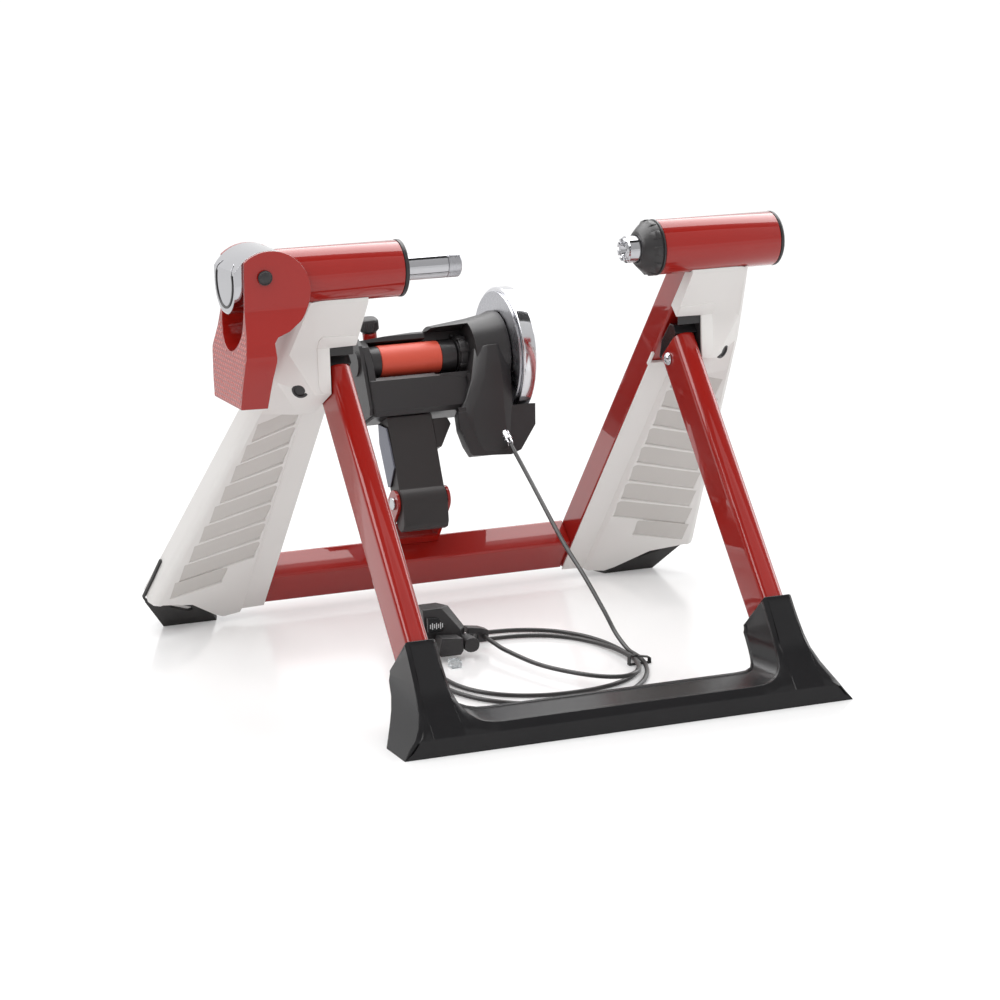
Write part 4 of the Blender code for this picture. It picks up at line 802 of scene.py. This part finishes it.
@dataclass
class LegCovers(SubAssembly):
    """The ribbed white covers, their plugs and the rubber feet.

    The ribs and the lens are in the leg's frame: across it, forward of it, and down it. The plug, the notch
    and the hood are in the part's own frame, on the right side.
    """

    rib_count: int = 9
    rib_top: float = 0.1550
    rib_pitch: float = 0.0290
    rib_depth: float = 0.0022
    rib_inner: float = 0.1868
    rib_last: float = 0.2150
    rib_slope: float = math.tan(math.radians(5.5))
    rib_gap: float = 0.0016
    face_ends: Sequence[Pair] = ((0.2103, 0.1605), (0.2110, 0.1720))
    face_from: float = 0.1860
    face_low: float = 0.0210
    face_rise: float = 0.0150
    sink_loss: float = 0.65
    panel_lift: float = 0.0003
    panel_depth: float = 0.0008
    panel_inset: float = 0.0006
    panel_back: float = 0.0009
    panel_margin: float = 0.0020
    panel_stations: int = 9
    panel_step: float = 0.0040
    end_back: Row = mm((6, 3, 1.6, 1.2, 1))
    end_cut: Row = mm((4.8, 1.4, 0.4, 0.2, 0.1))
    end_x: Row = mm((0, 1.2, 2.8, 6, 12))
    plug_at: Point = mm((207.9, 30.3, 274.5))
    plug_aim: Point = (0.50, -0.80, -0.33)
    plug_profile: Profile = mm(((0, -5), (7.8, -5), (7.8, 1.2), (7.3, 2.4), (6.2, 3), (5.2, 3), (4.6, 1.8),
                                (0, 1.8)))
    notch_across: Profile = mm(((158, 0.6), (158, 12.9), (190.5, 15.2), (193, 13.6), (194.4, 11),
                                (194.4, -0.4)))
    notch_down: Profile = mm(((182.7, 312.2), (194.4, 312.2), (194.4, 279), (192.5, 273), (188.5, 270.6),
                              (182.7, 270.6)))
    notch_corner: Point = mm((0, 21.5, 311.5))
    notch_slope: Point = (0.0, -0.619, 0.785)
    notch_out: Point = (0.0, -0.785, -0.619)
    notch_foot: Pair = mm((20, 270))
    notch_lean: float = 0.036
    plate_lifts: Pair = mm((-0.4, 0.9))
    # Painted shade: a dark sheet and lip in the hood's notch, where shade falls beside the folding tube's
    # cap.
    liner_outline: Profile = mm(((22.5, 310.5), (21.3, 270), (56, 252), (64, 280), (40, 310)))
    liner_x: Pair = mm((182, 182.8))
    lip: Sequence[Point] = mm(((160, 22.6, 303.4), (182.6, 23.6, 311.2)))
    hood_outline: Profile = mm(((-10.6, 352.7), (23, 310.8), (21.7, 271.2), (69.4, 246.6)))
    hood_leg: Profile = mm(((15, 148), (15, 20)))
    hood_x: Pair = mm((182.9, 184.6))
    lens_corners: Sequence[Point] = mm(((237.2, 17.8, 449.5), (265.2, 18.6, 462.5)))

    def build(self) -> None:
        """Rounds the mouldings and lays in the ribs' panels of painted shade."""
        for side in Side:
            self.panels(side)
            self.plug(side)
            self.step(side)
            self.liner(side)
            self.surround(side)
            self.lens(side)
        self.refine(self.both("leg_cover"), COVER_WHITE, 0.0005, 48.0)
        self.refine(self.both("cover_plug"), CHARCOAL, 0.0006)
        self.refine(self.both("rear_foot"), RUBBER, 0.0008, 30.0)

    def corner(self, down: float) -> float:
        """Returns how far out the ribbed face ends."""
        return min(start + slope * down for start, slope in self.face_ends)

    def face(self, x: float, down: float) -> float:
        """Returns the ribbed face's height over the leg."""
        return self.face_low + self.face_rise * (x - self.face_from) / (self.corner(down) - self.face_from)

    def panels(self, side: Side) -> None:
        """Lays a matt grey panel in each rib's recess as painted shade of the recess, with its inner end
        rounded.
        """
        made = [Bench.lofted("panel", self.panel_rings(index), Matrix.Identity(4))
                for index in range(self.rib_count)]
        panel = Bench.joined(f"rib_panels_{side.word}", made)
        self.add(Bench.smooth(Bench.place(panel, side.mirror @ LEG), 30.0), RIB_RECESS_SHADE)

    def panel_rings(self, index: int) -> list[list[Point]]:
        """Returns the sections of one rib's panel, from its inner to its outer end."""
        top = self.rib_top + index * self.rib_pitch
        inner = self.rib_inner if index < self.rib_count - 1 else self.rib_last
        outer = self.corner(top) - self.panel_margin
        ends = len(self.end_x)
        reach = [inner + self.panel_inset + step for step in self.end_x]
        reach += list(np.linspace(reach[-1] + self.panel_step, outer, self.panel_stations))
        rings = []
        for k, x in enumerate(reach):
            back, trim = (self.end_back[k], self.end_cut[k]) if k < ends else (self.panel_back, 0.0)
            start = top + self.rib_slope * (x - inner)
            end = start + self.rib_pitch - self.rib_gap
            sink = self.rib_depth * (1.0 - self.sink_loss * (x - inner) / (outer - inner))
            levels = (start + back, start + self.rib_pitch * 0.5, end - self.panel_inset - trim)
            ring = [(x, self.face(x, level) - sink * (level - start) / (end - start) + self.panel_lift, level)
                    for level in levels]
            rings.append(ring + [(x, n - self.panel_depth, level) for x, n, level in reversed(ring)])
        return rings

    def flat(self, name: str, side: Side, outline: Profile, reach: Row) -> Object:
        """Makes a thin wall of an outline in y and z, between two places in x."""
        return Bench.lofted(f"{name}_{side.word}", [[(x, y, z) for y, z in outline] for x in reach], PACKED)

    def plug(self, side: Side) -> None:
        """Caps the hood's screw with a wide black plug."""
        stand = standing(packed(self.plug_at), self.plug_aim)
        cap = Bench.turned(f"plug_cap_{side.word}", self.plug_profile, stand, 32)
        self.add(Bench.smooth(Bench.place(cap, side.mirror), 35.0), CHARCOAL)

    def surround(self, side: Side) -> None:
        """Raises the L-shaped plate that frames the hood's notch."""
        corner, slope, out = (Vector(v) for v in (self.notch_corner, self.notch_slope, self.notch_out))
        upper = [[corner + slope * run + out * lift + Vector((x, 0.0, 0.0)) for x, run in self.notch_across]
                 for lift in self.plate_lifts]
        foot_y, foot_z = self.notch_foot
        lower = [[(x, foot_y + self.notch_lean * (z - foot_z) - lift, z) for x, z in self.notch_down]
                 for lift in self.plate_lifts]
        plates = [Bench.lofted("plate", rings, PACKED) for rings in (upper, lower)]
        for plate in plates:
            Bench.bevel(plate, width=0.0005, angle=30)
        surround = Bench.smooth(Bench.joined(f"notch_frame_{side.word}", plates), 25.0)
        self.add(Bench.place(surround, side.mirror), COVER_WHITE)

    def liner(self, side: Side) -> None:
        """Lays a dark sheet in the notch as painted shade, where the folding tube's cap sits against the
        hood.
        """
        wall = self.flat("notch_liner", side, self.liner_outline, self.liner_x)
        lip = Bench.block("lip", *self.lip, PACKED)
        wall = Bench.joined(f"notch_liner_{side.word}", [wall, lip])
        self.add(Bench.place(wall, side.mirror), CHARCOAL)

    def step(self, side: Side) -> None:
        """Closes the hood's side beside the folding tube."""
        own = PACKED.inverted() @ LEG
        foot = [(own @ Vector((0.0, up, down))).yz for up, down in self.hood_leg]
        wall = self.flat("hood_side", side, [*self.hood_outline, *foot], self.hood_x)
        self.add(Bench.place(wall, side.mirror), COVER_WHITE)

    def lens(self, side: Side) -> None:
        """Shows the cover's own wall through the lens-shaped hole in the rubber foot."""
        insert = Bench.block(f"foot_lens_{side.word}", *self.lens_corners, side.mirror @ LEG)
        self.add(insert, COVER_WHITE)


@dataclass
class FrontFrame(SubAssembly):
    """The folding front tubes and their foot.

    The foot's upper edge runs through edge_x and edge_z from its end to its middle. The other rows give how
    far its front, its sleeves' rear and its bar's rear reach at each height.
    """

    body: str = "front_frame"
    edge_x: Row = mm((212.5, 211.2, 207, 201, 195.8, 191.2, 188, 186.4, 185.7, 185.3, 185.2, 184.5, 182.5,
                      177, 170, 164, 159.4, 157.4, 156.7, 156.6, 156.4, 155.9, 155, 153.2, 150.4, 146.6,
                      141.8, 136, 129, 120, 80, 40, 0))
    edge_z: Row = mm((0, 2.2, 7.8, 15.5, 23.5, 32.5, 42.5, 53, 64, 74, 81.5, 83.8, 84.6, 84.6, 84.6, 84.6,
                      84.6, 83.8, 81.5, 74, 64, 54, 45.5, 38.5, 33, 28.8, 25.6, 23.4, 22.1, 21.5, 21.5, 21.5,
                      21.5))
    front_z: Row = mm((0, 15.5, 19, 24, 32, 44, 60, 84.2, 90))
    front_y: Row = mm((-219, -217.8, -215, -209.5, -200, -186.5, -173.5, -155.3, -151))
    rear_z: Row = mm((0, 15.5, 44, 50.3))
    rear_y: Row = mm((-176, -155, -118.5, -115.2))
    bar_z: Row = mm((0, 20.5, 25))
    bar_y: Row = mm((-170, -170.5, -173.5))
    sleeve_from: Pair = mm((130, 156))
    rows: int = 6
    lip_wide: float = 0.0065
    lip_loss: float = 0.0030
    lip_share: float = 0.43
    lip_back: float = 1.05
    rear_low: float = 0.0100
    rear_rise: float = 0.0035
    rear_turn: float = 0.0440
    rear_lean: float = 0.157
    dish_z: Pair = mm((21.5, 80))
    dish_x: float = 0.1567
    dish_depth: float = 0.0009
    dish_inset: float = 0.0035
    dish_share: float = 0.3
    dish_wall: float = 1.2

    def build(self) -> None:
        """Rounds the tubes, caps and bolts and moulds the foot."""
        self.refine(self.both("front_tube"), CANDY_RED, 0.0004, 50.0)
        self.refine(self.both("tube_cap"), PIANO_BLACK, 0.0008, 25.0)
        self.refine(self.both("fold_bolt"), CHROME, 0.0003)
        self.stand_in(Bench.smooth(self.foot(), 30.0), "front_foot", PIANO_BLACK)

    def foot(self) -> Object:
        """Moulds the foot: a low bar that sweeps up into a sleeve at each end."""
        half = [self.station(k) for k in range(len(self.edge_x))]
        other = [[(-x, y, z) for x, y, z in ring] for ring in half[:-1]]
        return Bench.lofted("front_foot_moulded", other + half[::-1], PACKED)

    def station(self, index: int) -> list[Point]:
        """Returns the foot's section under one point of its upper edge, as a closed ring."""
        x, z = self.edge_x[index], self.edge_z[index]
        before, after = max(index - 1, 0), min(index + 1, len(self.edge_x) - 1)
        run = Vector((self.edge_x[after] - self.edge_x[before], self.edge_z[after] - self.edge_z[before]))
        inward = Vector((-run.y, run.x)).normalized()
        if after == index:
            inward = Vector((0.0, -1.0))
        share = float(np.interp(x, self.sleeve_from, (0.0, 1.0)))
        share = share * share * (3 - 2 * share)
        width = min(self.lip_wide - self.lip_loss * share, z * self.lip_share)
        inner_x, inner_z = x + inward.x * width, max(z + inward.y * width, 0.0)
        knee = min(self.front_z[1], inner_z)
        ring = [(x, self.front_y[0], 0.0)]
        for row in range(self.rows + 1):
            part = row / self.rows
            level = knee + (inner_z - knee) * part
            ring.append((x + (inner_x - x) * part, self.front_at(level), level))
        lip = Vector((x, self.front_at(inner_z) + width * self.lip_back, z))
        turn = self.rear_turn
        level = z + self.rear_rise * (1 - share) if z < turn else turn + (z - turn) * self.rear_lean
        rear = Vector((x, self.rear_at(level, share), level * min(z / self.rear_low, 1.0)))
        dished = self.dish_z[0] <= z < self.dish_z[1] and x < self.dish_x
        inset = min(self.dish_inset, (rear - lip).length * self.dish_share)
        edge = ((0.0, 0.0), (inset, 0.0), (inset * self.dish_wall, self.dish_depth if dished else 0.0))
        over = (rear - lip).normalized()
        top = [(lip + over * at, depth) for at, depth in edge]
        top += [(rear - over * at, depth) for at, depth in edge[::-1]]
        ring += [(point.x + inward.x * depth, point.y, point.z + inward.y * depth) for point, depth in top]
        for row in range(1, self.rows + 1):
            low = rear.z * (1 - row / self.rows)
            ring.append((x, self.rear_at(low, share), low))
        return ring

    def front_at(self, level: float) -> float:
        """Returns how far forward the foot reaches at a level."""
        return float(np.interp(level, self.front_z, self.front_y))

    def rear_at(self, level: float, share: float) -> float:
        """Returns how far back the foot reaches at a level, between bar (share 0) and sleeve (share 1)."""
        sleeve = float(np.interp(level, self.rear_z, self.rear_y))
        bar = float(np.interp(level, self.bar_z, self.bar_y))
        return bar + (sleeve - bar) * share


@dataclass
class Clamp(SubAssembly):
    """The clamp lever, its end block and the sliding shaft."""

    body: str = "clamp_slide"
    face_z: Row = mm((274.5, 290, 315, 337, 360))
    face_x: Row = mm((-285.5, -285, -283.2, -279.5, -277.6))
    side_z: Row = mm((270, 318.7, 357))
    side_y: Row = mm((36, 47, 32.5))
    slot_z: float = 0.3490
    slot_half: float = 0.0285
    grip_foot: float = 0.2775
    grip_top: float = 0.3480
    stud_step: float = 0.0050
    stud_rise: float = 0.0042
    stud_radius: float = 0.0021
    stud_taper: float = 0.45
    stud_height: float = 0.0006
    stud_root: float = 0.0008
    stud_margin: float = 0.0026
    stud_columns: int = 12
    # Painted shade: a dark ring in the end block's groove, cut off at line_top.
    line_top: float = 0.3890
    line_profile: Profile = mm(((21.3, -280), (23.1, -280), (23.1, -285.2), (21.3, -285.2), (21.3, -280)))
    dome_at: Point = mm((-259, -34.7, 387))
    dome_profile: Profile = mm(((0, -3), (6, -3), (6, 0.2), (5, 1.4), (3.2, 2.3), (0, 2.7)))

    def build(self) -> None:
        """Rounds the lever and block, and adds the grip's studs."""
        self.grip()
        self.refine(["clamp_lever"], CANDY_RED, 0.0012, 35.0, 3)
        self.refine(["clamp_end_block"], CHROME, 0.0010, 35.0, 3)
        self.refine(["lever_pin"], CHARCOAL, 0.0005)
        self.inlay()
        self.dome()
        self.refine(["clamp_shaft"], CHROME, 0.0005)
        self.refine(["clamp_cup_left"], STEEL, 0.0003)

    def dome(self) -> None:
        """Rounds the head of the lever's pin."""
        stand = Matrix.Translation(packed(self.dome_at)) @ Matrix.Rotation(math.pi / 2, 4, "X")
        self.add(Bench.smooth(Bench.turned("lever_pin_dome", self.dome_profile, stand, 32), 60.0), CHARCOAL)

    def inlay(self) -> None:
        """Lays a dark ring in the groove of the end block as painted shade of the groove, below where the
        block curves back.
        """
        ring = Bench.turned("end_block_line", self.line_profile, AXLE, 72)
        Bench.edit(ring)
        bpy.ops.mesh.bisect(plane_co=(0.0, 0.0, self.line_top), plane_no=(0.0, 0.0, 1.0), clear_outer=True,
                            use_fill=True)
        Bench.close()
        self.add(ring, CHARCOAL)

    def grip(self) -> None:
        """Covers the lever's outer face with staggered studs, in a paler red that paints their sheen."""
        studs = []
        rows = int((self.grip_top - self.grip_foot) / self.stud_rise)
        for row in range(rows + 1):
            z = self.grip_foot + row * self.stud_rise
            x = float(np.interp(z, self.face_z, self.face_x))
            half = float(np.interp(z, self.side_z, self.side_y)) - self.stud_margin
            shift = 0.5 * self.stud_step * (row % 2)
            for column in range(-self.stud_columns, self.stud_columns + 1):
                y = column * self.stud_step + shift
                clear_of_slot = math.hypot(y, max(self.slot_z - z, 0.0)) > self.slot_half + self.stud_margin
                if abs(y) < half and (clear_of_slot or z < self.slot_z - self.slot_half - self.stud_margin):
                    studs.append(self.stud((x, y, z)))
        self.add(Bench.joined("grip_studs", studs), GRIP_RED_SHEEN, "clamp_lever")

    def stud(self, at: Point) -> Object:
        """Makes one flat-topped stud on the lever's outer face."""
        stud = Bench.primitive(bpy.ops.mesh.primitive_cone_add, "stud", vertices=6,
                               radius1=self.stud_radius, radius2=self.stud_radius * self.stud_taper,
                               depth=self.stud_height + self.stud_root)
        out = Matrix.Rotation(math.radians(-90.0), 4, "Y")
        centre = packed(at) + Vector(((self.stud_root - self.stud_height) / 2, 0.0, 0.0))
        return Bench.place(stud, Matrix.Translation(centre) @ out)


@dataclass
class Adjuster(SubAssembly):
    """The right-hand cup and the ring that moves it."""

    body: str = "adjuster_cup"
    lands: int = 10
    land_low: Sequence[Point] = mm(((16.8, -2.8, 109.8), (16.8, 2.8, 109.8), (16.8, 2.8, 112),
                                    (16.8, -2.8, 112)))
    land_high: Sequence[Point] = mm(((25.4, -4.2, 117.2), (25.4, 4.2, 117.2), (25.4, 4.2, 122.4),
                                     (25.4, -4.2, 122.4)))
    ring_profile: Profile = mm(((12.7, 107), (15, 107), (15.8, 107.3), (18.2, 109.6), (22.2, 113.9),
                                (24, 116.8), (24.7, 119), (25, 121.5), (25, 122.6), (24.2, 123),
                                (24.2, 123.8), (25.6, 124.2), (25.6, 125.4), (25.2, 125.8), (12.7, 125.8),
                                (12.7, 107)))

    def build(self) -> None:
        """Turns the ring and rounds the cup."""
        self.ring()
        self.refine(["adjuster_cup"], CHROME, 0.0004)

    def ring(self) -> None:
        """Turns the adjuster's ring and sets grip lands round its shoulder."""
        parts = [Bench.turned("ring", self.ring_profile, AXLE, 96)]
        for turn in turns(self.lands):
            land = Bench.lofted("land", [self.land_low, self.land_high], Matrix.Identity(4))
            Bench.bevel(land, width=0.0006)
            parts.append(Bench.place(land, AXLE @ turn))
        ring = Bench.smooth(Bench.joined("adjuster_ring_turned", parts), 35.0)
        self.stand_in(ring, "adjuster_ring", CHARCOAL)


@dataclass
class ResistanceUnit(SubAssembly):
    """The arm, the housing, the magnet box, the roller and the flywheel."""

    body: str = "resistance_unit"
    wheel_radius: float = 0.0645
    wheel_edge: float = 0.0016
    fairing_levels: Sequence[Row] = mm(((37, 50, 96, 26.3), (48, 45, 97.5, 27.2), (64, 41.5, 98, 28.4),
                                        (79, 42, 98.2, 30), (93, 50, 98.4, 34), (110, 57, 98.5, 38.5),
                                        (128, 62, 98.5, 39.5), (142, 66, 98.5, 39.2)))
    fairing_back: float = 0.0050
    folds: Profile = mm(((0, -9), (11, 0), (-12, 0.4), (0, -5)))
    bore: float = 0.0043
    rim_back: float = 0.0010
    groove: Profile = mm(((10, 0), (9.5, 0.4), (6.5, 0.4), (6, 0)))
    wheel_x: Pair = mm((104, 119))
    hub_profile: Profile = mm(((51.2, 118), (50, 117.4), (48.4, 112.2), (47.2, 111), (17.4, 111),
                               (16, 111.8), (14.8, 118.2), (13.8, 119), (4.3, 119), (4.3, 104)))
    seat_profile: Profile = mm(((17.1, 56), (19.2, 56), (19.7, 56.5), (19.7, 62.5), (19.2, 63), (17.1, 63),
                                (17.1, 56)))
    tooth: Sequence[Point] = mm(((18.5, -1.9, 54.5), (20.8, 1.9, 64)))
    teeth: int = 8
    knob_at: Point = mm((-27.5, -6, 169))
    knob_aim: Point = (-0.10, 0.45, 0.89)
    ridge: Sequence[Point] = mm(((9, -0.5, 9.2), (10, 0.5, 17.8)))
    ridges: int = 30

    def build(self) -> None:
        """Rounds the mouldings and turns the rotor."""
        self.refine(["unit_arm"], PAINTED_BLACK, 0.0010, 30.0)
        self.refine(["side_plate"], BLUE_GREY, 0.0004)
        self.refine(["unit_housing", "cheek_plate", "magnet_box"], CHARCOAL, 0.0006, 30.0)
        self.refine(self.both("bearing"), STEEL, 0.0002)
        self.refine(["tension_collar"], CANDY_RED, 0.0003)
        self.refine(["tension_knob", "roller_core"], CHARCOAL, 0.0003)
        self.refine(["roller_sleeve"], ROLLER_RED, 0.0)
        self.refine(["roller_shaft"], STEEL, 0.0003)
        self.flywheel()
        self.fairing()
        self.boss()
        self.knob_ridges()
        self.refine(["conductive_disc", "magnet_carrier"], STEEL, 0.0003)

    def flywheel(self) -> None:
        """Turns the flywheel with rounded rims, a dished outer face and a hub."""
        (near, far), edge = self.wheel_x, self.wheel_edge
        flat = self.wheel_radius - edge
        steps = [math.radians(a) for a in (0, 22.5, 45, 67.5, 90)]
        profile = [(self.bore, near), *((flat - inner, near + deep) for inner, deep in self.groove)]
        profile += [(flat + edge * math.sin(a), near + edge - edge * math.cos(a)) for a in steps]
        back = far - self.rim_back - edge
        profile += [(flat + edge * math.cos(a), back + edge * math.sin(a)) for a in steps]
        profile += self.hub_profile
        wheel = Bench.smooth(Bench.turned("flywheel_turned", profile, ROLLER, 128), 35.0)
        self.stand_in(wheel, "flywheel", TURNED_CHROME)

    def fairing(self) -> None:
        """Blends the cone into the magnet box with one folded face."""
        rings = []
        for up, left, right, front in self.fairing_levels:
            corners = zip((left, left, right, right), self.folds)
            folded = [(corner + x, front + y, up) for corner, (x, y) in corners]
            rings.append([(left, self.fairing_back, up), *folded, (right, self.fairing_back, up)])
        piece = Bench.lofted("box_fairing", rings, UNIT)
        Bench.bevel(piece, width=0.0010, angle=12)
        self.add(Bench.smooth(piece, 15.0), CHARCOAL)

    def boss(self) -> None:
        """Adds the slotted collar between the roller and the cone, round the bearing's seat."""
        parts = [Bench.turned("collar", self.seat_profile, ROLLER, 64)]
        parts += [Bench.block("tooth", *self.tooth, ROLLER @ turn, edge=0.0003) for turn in turns(self.teeth)]
        self.add(Bench.smooth(Bench.joined("bearing_seat_collar", parts), 30.0), CHARCOAL)

    def knob_ridges(self) -> None:
        """Sets the grip ridges round the tension knob's head."""
        stand = standing(UNIT @ Vector(self.knob_at), UNIT.to_3x3() @ Vector(self.knob_aim))
        ridges = [Bench.block("ridge", *self.ridge, stand @ turn, edge=0.0002) for turn in turns(self.ridges)]
        self.add(Bench.joined("knob_ridges", ridges), CHARCOAL, "tension_knob")


@dataclass
class Remote(SubAssembly):
    """The handlebar remote that lies on the floor."""

    ticks: int = 7
    ticks_from: float = -0.0748
    tick_step: float = 0.0020
    tick_wide: float = 0.0009
    tick_tall: Pair = mm((3.8, 6))
    tick_y: Pair = mm((68.8, 69.2))
    tick_z: float = 0.0320

    def build(self) -> None:
        """Rounds the remote's mouldings."""
        self.refine(["remote_body", "remote_lever", "remote_clamp", "remote_stop"], CHARCOAL, 0.0010, 25.0)
        self.refine(["remote_window"], PIANO_BLACK, 0.0004)
        self.refine(["remote_pad"], CLEAR, 0.0008)
        self.scale()

    def scale(self) -> None:
        """Lays the white tick marks in the remote's window."""
        marks = []
        front, back = self.tick_y
        for k in range(self.ticks):
            x, half = self.ticks_from + k * self.tick_step, self.tick_tall[k % 2] / 2
            marks.append(Bench.block("tick", (x, front, self.tick_z - half),
                                     (x + self.tick_wide, back, self.tick_z + half), PACKED))
        self.add(Bench.joined("window_scale", marks), PALE_MARK)


def main() -> None:
    """Builds the studio and every sub-assembly in order."""
    logging.basicConfig(level=logging.INFO, format="%(message)s")
    Studio().build()
    for assembly in (Cable(), RearFrame(), LegCovers(), FrontFrame(), Clamp(), Adjuster(), ResistanceUnit(),
                     Remote()):
        assembly.build()
        log.info("%s: %d pieces", type(assembly).__name__, len(assembly.pieces))


if __name__ == "__main__":
    main()
